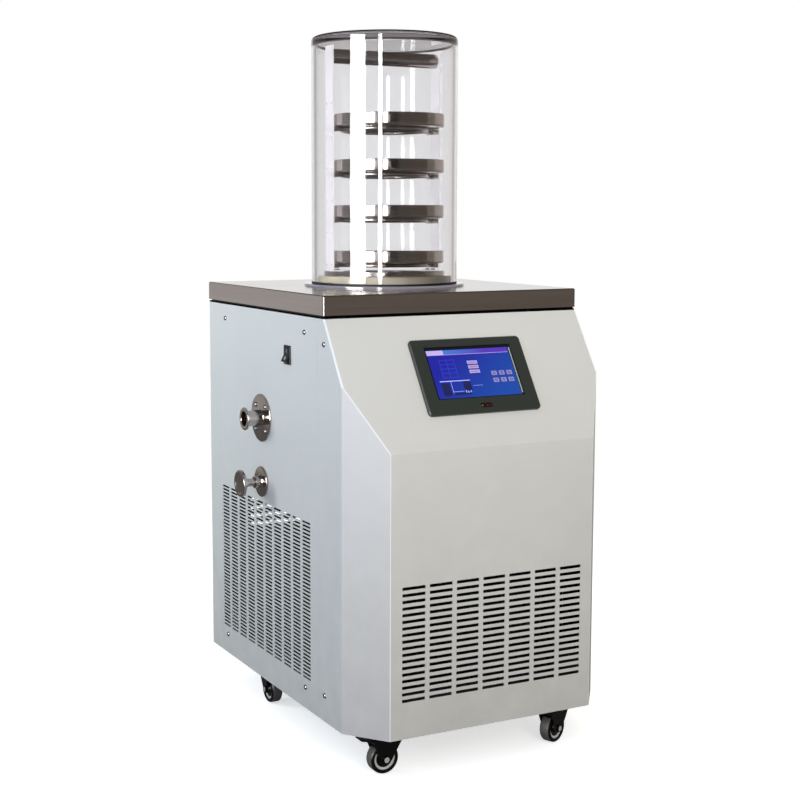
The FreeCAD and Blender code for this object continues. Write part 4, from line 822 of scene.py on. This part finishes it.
def seated_screw(low, high, turn):
    """A screw head on the outer end of the box of a plain screw."""
    span = high - low
    diameter = sorted(span)[1]
    axis = max(range(3), key=lambda i: abs(span[i] - diameter))
    side = 1 if low[axis] + high[axis] > 0 else -1
    height = HEAD_SHARE * diameter
    seat = (low + high) / 2
    seat[axis] = (high if side > 0 else low)[axis] - side * height
    mesh = screw_head(diameter / 2, height)
    mesh.transform(Matrix.Rotation(turn, 4, "Z"))
    mesh.transform(facing(seat, [side if i == axis else 0 for i in range(3)]))
    return mesh


class DRYER_OT_screws(bpy.types.Operator):
    """Replaces the plain screws of the panels, the port and the rack with cross-recessed pan heads"""
    bl_idname = "dryer.screws"
    bl_label = "Screws"

    def execute(self, context):
        materials = [finish("screw_zinc", brushed, scaled(colours().zinc, 0.6), (1.0, 1.0, 1.0), 0.3),
                     finish("recess_shadow", plastic, (0.02, 0.02, 0.02), 0.6)]
        for node in ("panel_screws", "port_screws", "rack_screws"):
            heads = [seated_screw(*box, 0.7 * number) for number, box in enumerate(island_boxes(node))]
            name = f"{node}_heads"
            piece(name, joined(name, heads), "cabinet", "fastener_steel", materials, node)
        dress("caster_bolts", satin_steel())
        return {"FINISHED"}


# ---------------------------------------------------------------- touch screen

class DRYER_OT_screen(bpy.types.Operator):
    """Builds the touch screen's glass with its lit display, and the small indicator window under it"""
    bl_idname = "dryer.screen"
    bl_label = "Touch screen"

    def execute(self, context):
        dress("screen_bezel", finish("bezel_plastic", plastic, colours().bezel, 0.36, 0.0005, 0.00003))
        dress("screen_housing", black_plastic())
        ahead = Vector((0, -1, 1)).normalized()
        place = face_frame("screen_window", ahead)
        low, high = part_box("screen_window")
        width = high.x - low.x
        tall = math.hypot(high.y - low.y, high.z - low.z) - 0.002
        border = finish("display_border", plastic, (0.004, 0.005, 0.008), 0.08, 0.002, 0.000002, 1.0)
        self.pane("screen_glass", place, width, tall, "screen_glass", border, "screen_window",
                  thickness=0.002, edge=0.0004)
        self.display(place, width, tall)
        self.indicator(face_frame("indicator_window", ahead))
        return {"FINISHED"}

    def pane(self, name, place, width, tall, slot, material, node, thickness, edge):
        """A pane whose face lies on a place, with corners as round as it is thick."""
        mesh = plate(name, box_loop(-width / 2, -tall / 2, width / 2, tall / 2, thickness), thickness, edge)
        mesh.transform(Matrix.Translation((0, 0, -thickness)))
        piece(name, mesh, "cabinet", slot, [material], node, place=place)

    def display(self, place, width, tall):
        """The lit fields, given as shares of the display's width and height from its lower left corner."""
        left, low = -width / 2 + 0.0035, -tall / 2 + 0.003
        wide, high = width - 0.0085, tall - 0.0085

        def field(x1, y1, x2, y2, radius=0.0):
            return box_loop(left + x1 * wide, low + y1 * high, left + x2 * wide, low + y2 * high, radius, 3)

        def discs(radius):
            return [circle(radius, 24, left + x * wide, low + y * high) for x, y in spots]

        spots = [(0.739 + 0.093 * i, 0.32 + 0.145 * (1 - k)) for i in range(3) for k in range(2)]
        ladder = [field(0.12, 0.42 + 0.09 * k, 0.30, 0.43 + 0.09 * k) for k in range(5)]
        ladder += [field(x1, 0.42, x2, 0.8) for x1, x2 in ((0.12, 0.126), (0.205, 0.211), (0.294, 0.30))]
        boxes = [field(0.45, 0.49 + 0.095 * k, 0.575, 0.56 + 0.095 * k) for k in range(3)]
        marks = [field(0.465, 0.515 + 0.095 * k, 0.56, 0.535 + 0.095 * k) for k in range(3)]
        tanks = [field(0.07, 0.05, 0.165, 0.31, 0.002), field(0.33, 0.29, 0.42, 0.33),
                 field(0.33, 0.13, 0.42, 0.285, 0.002), field(0.2, 0.06, 0.40, 0.1)]
        pipes = [field(0.185, 0.1, 0.19, 0.345), field(0.19, 0.125, 0.32, 0.133),
                 field(0.335, 0.1, 0.345, 0.15), field(0.36, 0.09, 0.372, 0.135),
                 field(0.39, 0.1, 0.402, 0.14), field(0.44, 0.23, 0.56, 0.236)]
        buttons = [field(x - 0.034, y - 0.045, x + 0.034, y + 0.045, 0.0012) for x, y in spots]
        # An LCD seen from the side is deep blue and lightens towards the lower right.
        blue = finish("display_blue", lit, 0.5, 0.14, (0.012, 0.014, 0.26), (0.010, 0.055, 0.30), ramp_across,
                      Direction=(1.0, -1.0, 0.0), Start=-0.07, End=0.09)
        title_blue = finish("display_title_blue", lit, 0.6, 0.14, (0.035, 0.16, 0.46), (0.07, 0.03, 0.34),
                            ramp_across, Start=-0.05, End=0.03)
        layers = (
            ("field", [field(0, 0, 1, 1)], blue),
            ("title", [field(0.2, 0.905, 0.985, 0.99)], title_blue),
            ("badge", [field(0.0, 0.90, 0.2, 0.99)], glowing("display_lavender", (0.42, 0.36, 0.66), 0.5)),
            ("rule", [field(0.0, 0.89, 0.985, 0.9)], glowing("display_pink", (0.46, 0.27, 0.72), 0.5)),
            ("ladder", ladder, glowing("display_ladder", (0.035, 0.04, 0.50), 0.55)),
            ("boxes", boxes, glowing("display_pale", (0.34, 0.30, 0.58), 0.5)),
            ("marks", marks, glowing("display_rose", (0.34, 0.12, 0.30), 0.45)),
            # Painted highlight: a faint glowing strip on the bevel at the right edge of the display.
            ("bevel", [field(1.006, 0.03, 1.02, 0.99)], glowing("display_bevel_highlight", (0.33, 0.35, 0.31), 0.3)),
            ("bar", [field(0.06, 0.34, 0.42, 0.357)], glowing("display_line", (0.40, 0.42, 0.82), 0.55)),
            ("tanks", tanks, glowing("display_navy", (0.012, 0.014, 0.075), 0.5)),
            ("pipes", pipes, glowing("display_pipe", (0.30, 0.36, 0.85), 0.55)),
            ("buttons", buttons, glowing("display_button", (0.22, 0.20, 0.46), 0.45)),
            ("icons", discs(0.0022), glowing("display_icon", (0.05, 0.025, 0.10), 0.4)),
            ("dots", discs(0.0010), glowing("display_dot", (0.50, 0.32, 0.50), 0.4)),
        )
        for number, (part, loops, material) in enumerate(layers, 1):
            name = f"display_{part}"
            mesh = flat_fields(name, loops, FIELD_STEP * number)
            piece(name, mesh, "cabinet", "screen_glass", [material], place=place)

    def indicator(self, place):
        """Dark window with a green and two red lamps behind it."""
        low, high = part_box("indicator_window")
        width = high.x - low.x
        dark = finish("indicator_dark", plastic, (0.012, 0.004, 0.004), 0.12, 0.002, 0.000002, 1.0)
        self.pane("indicator_glass", place, width, width * 8 / 22, "indicator_plastic", dark,
                  "indicator_window", thickness=0.0008, edge=0.0002)
        for name, spots, tint, strength in (("lamp_green", [-0.35], (0.12, 0.17, 0.02), 0.5),
                                            ("lamp_red", [0.08, 0.34], (0.11, 0.012, 0.010), 0.4)):
            middles = [spot * width for spot in spots]
            loops = [box_loop(x - 0.0013, -0.0012, x + 0.0013, 0.0012, 0.0008, 4) for x in middles]
            piece(name, flat_fields(name, loops, FIELD_STEP), "cabinet", "indicator_plastic",
                  [glowing(name, tint, strength)], place=place)


# ---------------------------------------------------------------- switch, port and valve

class DRYER_OT_switch(bpy.types.Operator):
    """Finishes the rocker switch and prints its on and off marks"""
    bl_idname = "dryer.switch"
    bl_label = "Rocker switch"

    def execute(self, context):
        dress("switch_frame", finish("switch_plastic", enamel, 0.35))
        dress("power_rocker", finish("rocker_gloss", enamel, 0.25))
        white = finish("mark_white", plastic, (0.75, 0.75, 0.74), 0.45)
        line = flat_fields("mark_on", [box_loop(-0.0006, -0.0028, 0.0006, 0.0028)], MARK_STEP)
        ring = ring_field("mark_off", 0.0028, 0.0018, MARK_STEP)
        for name, mesh, upper in (("mark_on", line, True), ("mark_off", ring, False)):
            mesh.transform(rocker_face(upper))
            piece(name, mesh, "power_rocker", "rocker_plastic", [white])
        return {"FINISHED"}


class DRYER_OT_port(bpy.types.Operator):
    """Turns the vacuum port on the left side, with a rounded mounting plate and a flared clamping rim"""
    bl_idname = "dryer.port"
    bl_label = "Vacuum port"

    def execute(self, context):
        mount, reach, inside, place = on_left_side("vacuum_port")
        bore, tube, rim = sizes().port_bore, sizes().port_tube, sizes().port_rim
        sheet = 0.003
        outline = [
            (bore, inside, 0), (tube, inside, 0), (tube, 0, 0), (mount, 0, 0), (mount, sheet, 0.0012),
            (tube, sheet, 0.0015), (tube, reach - 0.0046, 0.002), (rim, reach - 0.003, 0.0006),
            (rim, reach, 0.0008), (bore, reach, 0.0008)]
        turned("vacuum_port_turned", "vacuum_port", "stainless",
               turned_steel("turned_port", 0.8, 0.12), outline, arc=5, steps=96, place=place)
        return {"FINISHED"}


class DRYER_OT_valve(bpy.types.Operator):
    """Turns the release valve's base, its stem and its knob with a knurled edge"""
    bl_idname = "dryer.valve"
    bl_label = "Release valve"

    def execute(self, context):
        stem = sizes().stem
        base, gland, inside, place = on_left_side("valve_body")
        shank, neck, bore = 0.011, 0.0105, stem + 0.0001
        flange, floor = 0.004, gland - 0.009
        outline = [
            (0, inside, 0), (shank, inside, 0.001), (shank, 0, 0), (base, 0, 0), (base, flange, 0.0015),
            (0.0128, flange, 0.001), (neck, 0.0065, 0.0008), (neck, gland, 0.001), (bore, gland, 0),
            (bore, floor, 0), (0, floor, 0)]
        turned("valve_body_turned", "valve_body", "stainless",
               turned_steel("turned_base", 0.7, 0.14), outline, steps=96, place=place)
        knob, top, foot, _ = on_left_side("valve_knob")
        collar, shoulder, under, dish = 0.0095, top - 0.014, top - 0.006, top - 0.0008
        profile = rounded([
            (0, foot, 0), (stem, foot, 0.0005), (stem, shoulder, 0.001), (collar, shoulder, 0.001),
            (collar, under, 0.0015), (knob, under, 0.0012), (knob, top, 0.0016), (knob - 0.005, top, 0.001),
            (knob - 0.006, dish, 0.0006), (0, dish, 0)], 5)
        mesh = lathe("valve_knob_turned", profile, 192)
        self.knurl(mesh, knob - 0.0012, top - 0.0054, top - 0.0006)
        mesh.transform(place)
        piece("valve_knob_turned", mesh, "valve_knob", "stainless", [turned_steel("turned_knob", 0.8, 0.14)],
              "valve_knob")
        return {"FINISHED"}

    def knurl(self, mesh, radius, low, high, grips=48, depth=0.012):
        """Dents the rim between two heights. The depth is a share of the radius."""
        for vertex in mesh.vertices:
            if vertex.co.xy.length > radius and low < vertex.co.z < high:
                angle = math.atan2(vertex.co.y, vertex.co.x)
                vertex.co.xy *= 1 - depth * (0.5 + 0.5 * math.cos(grips * angle))


# ---------------------------------------------------------------- cold trap, drum and rack

class DRYER_OT_trap(bpy.types.Operator):
    """Finishes the drawn pot of the cold trap and its foam jacket"""
    bl_idname = "dryer.trap"
    bl_label = "Cold trap"

    def execute(self, context):
        dress("trap_insulation",
              finish("foam", painted, colours().foam, 0.85, 0.003, 0.0003, low=0.85, high=1.05))
        dress("cold_trap_pot", finish("drawn_pot", brushed, colours().steel, (0.3, 0.3, 5.0), 0.2))
        return {"FINISHED"}


class DRYER_OT_drum(bpy.types.Operator):
    """Turns the tinted seat, the seal, the cream ring and the clear drum over the mouth of the trap"""
    bl_idname = "dryer.drum"
    bl_label = "Drum and seat"

    def execute(self, context):
        size, tint = sizes(), colours()
        outer, foot, top = upright("seat_flange")
        inner, shoulder, neck = size.trap_radius, foot + 0.0017, 0.1152
        turned("seat_flange_turned", "seat_flange", "flange_acrylic",
               finish("tinted_acrylic", plastic, tint.violet, 0.12, 0.004, 0.000004, 0.6),
               [(inner, shoulder, 0), (neck, shoulder, 0), (neck, foot, 0), (outer, foot, 0.0004),
                (outer, top, 0.0014), (inner, top, 0.0008)], arc=5, steps=256)
        outer, foot, top = upright("drum_gasket")
        turned("drum_gasket_turned", "drum_gasket", "seal_rubber",
               finish("seal_rubber", plastic, tint.rubber, 0.55, 0.001, 0.00003),
               plain_ring(outer - size.drum_wall - 0.001, outer, foot, top, 0.0008, 0.0008))
        turned("seat_ring_turned", "seat_ring", "ring_plastic",
               finish("cream_plastic", plastic, tint.cream, 0.4, 0.0015, 0.00002),
               plain_ring(size.ring_bore, *upright("seat_ring"), 0.0005, 0.0015))
        outer, foot, top = upright("acrylic_drum")
        inner, under = outer - size.drum_wall, top - size.drum_top
        turned("clear_drum", "acrylic_drum", "clear_acrylic", finish("clear_acrylic", clear),
               [(inner, foot, 0.0006), (outer, foot, 0.0006), (outer, top, size.drum_round), (0, top, 0),
                (0, under, 0), (inner, under, 0.004)], arc=14, steps=256)
        return {"FINISHED"}


class DRYER_OT_rack(bpy.types.Operator):
    """Builds the tray rack: its base, uprights, carrying tube, shelf rings and deep-drawn trays"""
    bl_idname = "dryer.rack"
    bl_label = "Tray rack"

    def execute(self, context):
        steel = colours().steel
        turned("rack_base_turned", "rack_base", "stainless",
               finish("turned_base_plate", brushed, steel, (0.3, 0.3, 5.0), 0.2),
               plain_ring(sizes().base_bore, *upright("rack_base"), 0.0004, 0.001))
        dress("left_upright right_upright", finish("frosted_strip", frosted, (0.90, 0.89, 0.92), 0.30))
        self.handle(finish("polished_tube", brushed, steel, (0.1, 1.0, 1.0), 0.1, 0.000004, 600.0))
        drawn = finish("tray_steel", brushed, steel, (0.25, 0.25, 6.0), 0.12, 0.000002, 420.0, 0.86, 1.0)
        for number in range(1, 5):
            self.tray(f"tray_{number}", drawn)
            self.ring(f"shelf_ring_{number}")
        return {"FINISHED"}

    def handle(self, steel, wall=0.0015):
        low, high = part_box("handle_tube")
        radius = (high.z - low.z) / 2
        half = (high.x - low.x) / 2
        outline = plain_ring(radius - wall, radius, -half, half, 0, 0)
        place = facing((low + high) / 2, (1, 0, 0))
        turned("handle_turned", "handle_tube", "stainless", steel, outline, steps=96, place=place)

    def tray(self, node, steel):
        low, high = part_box(node)
        outer, foot, top = upright(node)
        wall, bead = sizes().tray_wall, sizes().tray_bead
        lip = outer - 2 * bead
        turned(f"{node}_drawn", node, "stainless", steel, [
            (0, foot, 0), (outer, foot, 0.004), (outer, top, bead * 0.95), (lip, top, bead * 0.95),
            (lip, top - 1.6 * bead, 0.0003), (outer - wall, top - 2 * bead, 0.0003),
            (outer - wall, foot + wall, 0.003), (0, foot + wall, 0)],
            arc=6, place=Matrix.Translation((0, (low.y + high.y) / 2, 0)))

    def ring(self, node):
        """A rod bent to a ring, with an arm to each upright and a block at each end."""
        low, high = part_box(node)
        rod, depth = sizes().shelf_rod, sizes().block_depth
        level = high.z - rod
        radius = (high.y - low.y) / 2 - rod
        half = sizes().upright_width / 2
        parts = [lathe(node, circle(rod, 20, radius, level), 128)]
        for side in (-1, 1):
            parts.append(bar(node, [(side * radius, 0, level), (side * (high.x - 0.002), 0, level)], rod, 20))
            inner, outer = sorted((side * (high.x - depth), side * high.x))
            block = plate(node, box_loop(inner, -half, outer, half, 0.0012, 3), high.z - low.z, 0.0007, 2)
            block.transform(Matrix.Translation((0, 0, low.z)))
            parts.append(block)
        piece(f"{node}_bent", joined(f"{node}_bent", parts), "cabinet", "stainless", [satin_steel()], node)


# ---------------------------------------------------------------- refrigeration

class DRYER_OT_machinery(bpy.types.Operator):
    """Finishes the compressor, condenser, fan, pipe, control box and mains inlet inside the cabinet"""
    bl_idname = "dryer.machinery"
    bl_label = "Refrigeration"

    def execute(self, context):
        tint = colours()
        # These dark tints are partly the parts' own colours and partly painted shade inside the cabinet.
        dress("compressor", finish("compressor_paint", painted, tint.machine, 0.4, 0.001, 0.00004))
        dress("compressor_mounts", finish("mount_rubber", plastic, tint.rubber, 0.7))
        # The fins are darkened as painted shade, so that they show no glints through the slots.
        dress("condenser_coil", finish("fins_in_shade", brushed, tint.fins, (1.0, 1.0, 0.2), 0.4))
        dress("fan_shroud control_box", finish("box_enamel_and_shade", painted, tint.machine, 0.5, 0.001, 0.00004))
        dress("fan_motor", finish("motor_paint", painted, tint.black, 0.4, 0.001, 0.00004))
        dress("fan_rotor", finish("fan_plastic", plastic, tint.black, 0.4))
        dress("refrigerant_line", finish("drawn_copper", brushed, tint.copper, (0.3, 0.3, 3.0), 0.25))
        dress("power_inlet", black_plastic())
        return {"FINISHED"}


# ---------------------------------------------------------------- casters

class DRYER_OT_casters(bpy.types.Operator):
    """Turns the caster wheels with rounded treads and dished hubs, and finishes forks, plates and pedals"""
    bl_idname = "dryer.casters"
    bl_label = "Casters"

    def execute(self, context):
        dress("caster_plates", finish("plate_enamel", enamel))
        for key in ("fl", "fr", "rl", "rr"):
            centre, axle = arm_of(f"caster_roll_{key}")
            dress(f"caster_fork_{key}", finish(f"fork_enamel_{key}", fork_enamel, centre, axle))
            self.wheel(key, centre, axle)
        dress("brake_pedal_fl brake_pedal_fr", finish("pedal_plastic", enamel, 0.3))
        return {"FINISHED"}

    def wheel(self, key, centre, axle):
        """A wheel: its tread, its core with a hub, and the dished faces, each in a material of its own. The
        pale dished faces carry a painted highlight.
        """
        radius = centre.z
        half, hub = 0.01, 0.0113
        seat = radius - 0.0062
        tread = lathe("tyre", rounded([(seat, -half, 0.0006), (radius, -half, 0.004), (radius, half, 0.004),
                                       (seat, half, 0.0006)], 6), 96)
        for face in tread.polygons:
            rolling = abs(face.normal.z) < 0.55 and face.center.xy.length > radius * 0.9
            face.material_index = 0 if rolling else 1
        side = [(seat, half - 0.0006, 0.0005), (0.72 * radius, half - 0.0024, 0),
                (0.58 * radius, half - 0.0032, 0), (0.009, half - 0.0032, 0.001), (0.0072, hub, 0.0008),
                (0.0031, hub, 0.0004)]
        core = lathe("core", rounded([(x, -z, arc) for x, z, arc in side[::-1]] + side, 4), 96)
        for face in core.polygons:
            dished = 0.56 * radius < face.center.xy.length < 0.74 * radius and abs(face.normal.z) > 0.5
            face.material_index = 2 if dished else 1
        name = f"wheel_{key}"
        mesh = joined(name, [tread, core])
        mesh.transform(facing(centre, axle))
        materials = [finish("tyre_rubber", plastic, colours().tread, 0.6, 0.0008, 0.00006),
                     finish("wheel_core", enamel, 0.3), finish("wheel_dish_highlight", plastic, colours().dish, 0.35)]
        piece(name, mesh, f"caster_wheel_{key}", "wheel_plastic", materials, f"caster_wheel_{key}")


# ---------------------------------------------------------------- stage

CAMERA_PLACE = (-1.2375, -2.3314, 0.8979)
CAMERA_TURN = 26.91
CAMERA_DIP = 6.40
CAMERA_LENS = 65.88
CAMERA_SHIFT = (0.0534, -0.035)
FLOOR_REACH = 14

# Each lamp: name, turn to the right of the camera in degrees, distance, height, width, length, power, colour.
LAMPS = (
    ("side_softbox", -100, 3.0, 1.6, 1.0, 1.6, 44, (0.88, 1.0, 1.0)),
    ("left_softbox", -38, 3.0, 1.25, 0.55, 2.2, 8, (0.05, 0.4, 1.6)),
    ("right_softbox", 20, 2.6, 1.2, 0.8, 1.4, 21, (1.06, 1.0, 0.9)),
    ("high_softbox", -4, 2.8, 2.3, 1.2, 1.2, 4, (0.9, 0.98, 1.05)),
)
# Each card that polished surfaces reflect: name, turn from, turn to, low, high, colour.
CARDS = (
    ("far_left_card", -150, -105, 0.0, 2.6, (0.45, 0.43, 0.425)),
    ("left_card", -105, -56, 0.0, 2.6, (0.24, 0.23, 0.235)),
    ("softbox_surround", -56, -29, 0.0, 2.6, (0.12, 0.11, 0.10)),
    ("camera_card", -29, -10, 0.0, 2.6, (0.50, 0.49, 0.50)),
    ("dark_card", -10, 20, 0.0, 2.6, (0.035, 0.030, 0.028)),
    ("mid_card", 20, 42, 0.0, 2.6, (0.10, 0.095, 0.085)),
    ("brown_card", 42, 84, 0.0, 2.6, (0.12, 0.104, 0.086)),
    ("right_card", 84, 106, 0.0, 2.6, (0.28, 0.25, 0.22)),
    ("far_right_card", 106, 150, 0.0, 2.6, (0.55, 0.50, 0.46)),
    ("softbox_front", -54, -29.5, 0.1, 2.3, (24.0, 24.0, 24.0)),
    ("strip_front", -9.4, -3.4, 0.1, 2.3, (22.0, 22.0, 22.0)),
)
CARD_RADIUS = 4.6


def around(turn, distance, height):
    """A point at an angle to the right of the camera, as seen from the object's axis."""
    base = math.atan2(CAMERA_PLACE[1], CAMERA_PLACE[0])
    angle = base + math.radians(turn)
    return Vector((distance * math.cos(angle), distance * math.sin(angle), height))


def blend(tree, share, first, second):
    """A shader between two shaders."""
    return add_node(tree, "ShaderNodeMixShader", _0=share, _1=first, _2=second).outputs[0]


def glow(tree, strength, tint=(1, 1, 1)):
    return add_node(tree, "ShaderNodeEmission", Strength=strength, Color=(*tint, 1)).outputs[0]


def studio_floor(tree, shader):
    """Pale floor that fades to white further out, and shows darker in polished surfaces."""
    surface = use_group(tree, surface_grain, Size=0.01, Patch_Size=1.5)
    fill(tree, shader, {"Base Color": (0.86, 0.86, 0.86, 1),
                        "Roughness": ranged(tree, surface["Patches"], 0.7, 0.85)})
    near = add_node(tree, "ShaderNodeAddShader", _0=shader.outputs[0], _1=glow(tree, 0.62)).outputs[0]
    away = vector(tree, "LENGTH", coordinates(tree))
    edge = ranged(tree, away, 0.0, 1.0, 0.9, 2.4, "SMOOTHSTEP")
    seen = blend(tree, edge, near, glow(tree, 1.0))
    bounce = add_node(tree, "ShaderNodeBsdfDiffuse", Color=(0.45, 0.45, 0.45, 1)).outputs[0]
    path = add_node(tree, "ShaderNodeLightPath").outputs
    direct = maths(tree, "MAXIMUM", path["Is Camera Ray"], path["Is Transmission Ray"])
    far = ranged(tree, away, 0.16, 0.54, 2.6, 4.0, "SMOOTHSTEP")
    shown = glow(tree, far, (0.9, 0.86, 0.83))
    choice = blend(tree, path["Is Glossy Ray"], blend(tree, direct, bounce, seen), shown)
    fill(tree, tree.nodes["Material Output"], {"Surface": choice})


def card_light(tree, shader, tint):
    """Light of one colour, with nothing reflected."""
    peak = max(tint)
    fill(tree, shader, {"Base Color": (0, 0, 0, 1), "Specular IOR Level": 0.0,
                        "Emission Color": (*scaled(tint, 1 / peak), 1), "Emission Strength": peak})


class DRYER_OT_stage(bpy.types.Operator):
    """Sets the camera, the pale floor and backdrop, the soft lamps and the cards that metal reflects"""
    bl_idname = "dryer.stage"
    bl_label = "Stage"

    def execute(self, context):
        scene = context.scene
        scene.view_settings.view_transform = "Standard"
        camera = new_object("camera", bpy.data.cameras.new("camera"))
        camera.location = CAMERA_PLACE
        camera.rotation_euler = (math.radians(90 - CAMERA_DIP), 0, math.radians(-CAMERA_TURN))
        camera.data.sensor_width = 36
        camera.data.lens = CAMERA_LENS
        camera.data.shift_x, camera.data.shift_y = CAMERA_SHIFT
        camera.data.clip_end = 100
        scene.camera = camera
        self.floor(FLOOR_REACH)
        self.backdrop(scene)
        self.lamps()
        self.cards()
        return {"FINISHED"}

    def floor(self, reach):
        corners = [(-reach, -reach, 0), (reach, -reach, 0), (reach, reach, 0), (-reach, reach, 0)]
        mesh = mesh_from("floor", corners, [(0, 1, 2, 3)])
        floor = new_object("floor", mesh)
        mesh.materials.append(finish("studio_floor", studio_floor))

    def backdrop(self, scene):
        """A white studio whose ceiling shows dark in polished surfaces."""
        world = bpy.data.worlds.new("studio")
        world.use_nodes = True
        scene.world = world
        tree = world.node_tree
        path = add_node(tree, "ShaderNodeLightPath").outputs
        direct = path["Is Camera Ray"]
        plain = tree.nodes["Background"]
        fill(tree, plain, {"Color": mixed(tree, direct, (1.0, 1.0, 0.95), (1, 1, 1)),
                           "Strength": ranged(tree, direct, 0.58, 1.0)})
        rise = split(tree, coordinates(tree, "Generated"))["Z"]
        ceiling = ranged(tree, rise, 0.0, 1.0, 0.08, 0.30, "SMOOTHSTEP")
        shade = mixed(tree, ceiling, (1, 1, 1), (0.10, 0.085, 0.078))
        shown = add_node(tree, "ShaderNodeBackground", Color=shade)
        polished = maths(tree, "MAXIMUM", path["Is Glossy Ray"], path["Is Transmission Ray"])
        fill(tree, tree.nodes["World Output"],
             {"Surface": blend(tree, polished, plain.outputs[0], shown.outputs[0])})

    def lamps(self):
        for name, turn, distance, height, width, tall, power, tint in LAMPS:
            data = bpy.data.lights.new(name, "AREA")
            data.shape = "RECTANGLE"
            data.size, data.size_y = width, tall
            data.energy = power
            data.color = tint
            lamp = new_object(name, data)
            lamp.location = around(turn, distance, height)
            aim = Vector((0, -0.05, min(height, 0.7))) - lamp.location
            lamp.rotation_euler = aim.to_track_quat("-Z", "Y").to_euler()
            lamp.visible_glossy = False
            lamp.visible_transmission = False

    def cards(self):
        """Curved cards round the object, which only polished surfaces show."""
        for name, start, end, low, high, tint in CARDS:
            count = max(2, round((end - start) / 6))
            distance = CARD_RADIUS if max(tint) < 1 else CARD_RADIUS - 0.1
            turns = [start + (end - start) * k / count for k in range(count + 1)]
            spots = [around(turn, distance, height) for height in (low, high) for turn in turns]
            faces = [(k, k + 1, count + 2 + k, count + 1 + k) for k in range(count)]
            mesh = mesh_from(name, spots, faces)
            mesh.materials.append(finish(name, card_light, tint))
            card = new_object(name, mesh)
            card.visible_camera = False
            card.visible_diffuse = False
            card.visible_shadow = False


# ---------------------------------------------------------------- add-on

OPERATORS = (DRYER_OT_stage, DRYER_OT_cabinet, DRYER_OT_screws, DRYER_OT_screen, DRYER_OT_switch,
             DRYER_OT_port, DRYER_OT_valve, DRYER_OT_trap, DRYER_OT_drum, DRYER_OT_rack, DRYER_OT_machinery,
             DRYER_OT_casters)


class DRYER_PT_panel(bpy.types.Panel):
    """Lists the steps that dress the freeze dryer"""
    bl_idname = "DRYER_PT_panel"
    bl_label = "Freeze Dryer"
    bl_space_type = "VIEW_3D"
    bl_region_type = "UI"
    bl_category = "Freeze Dryer"

    def draw(self, context):
        for operator in OPERATORS:
            self.layout.operator(operator.bl_idname)


CLASSES = (DryerSizes, DryerColours, *OPERATORS, DRYER_PT_panel)


def register():
    for item in CLASSES:
        bpy.utils.register_class(item)
    bpy.types.Scene.dryer_sizes = bpy.props.PointerProperty(type=DryerSizes)
    bpy.types.Scene.dryer_colours = bpy.props.PointerProperty(type=DryerColours)


def unregister():
    del bpy.types.Scene.dryer_colours
    del bpy.types.Scene.dryer_sizes
    for item in reversed(CLASSES):
        bpy.utils.unregister_class(item)


def main():
    register()
    for operator in OPERATORS:
        group, name = operator.bl_idname.split(".")
        getattr(getattr(bpy.ops, group), name)()


if __name__ == "__main__":
    main()
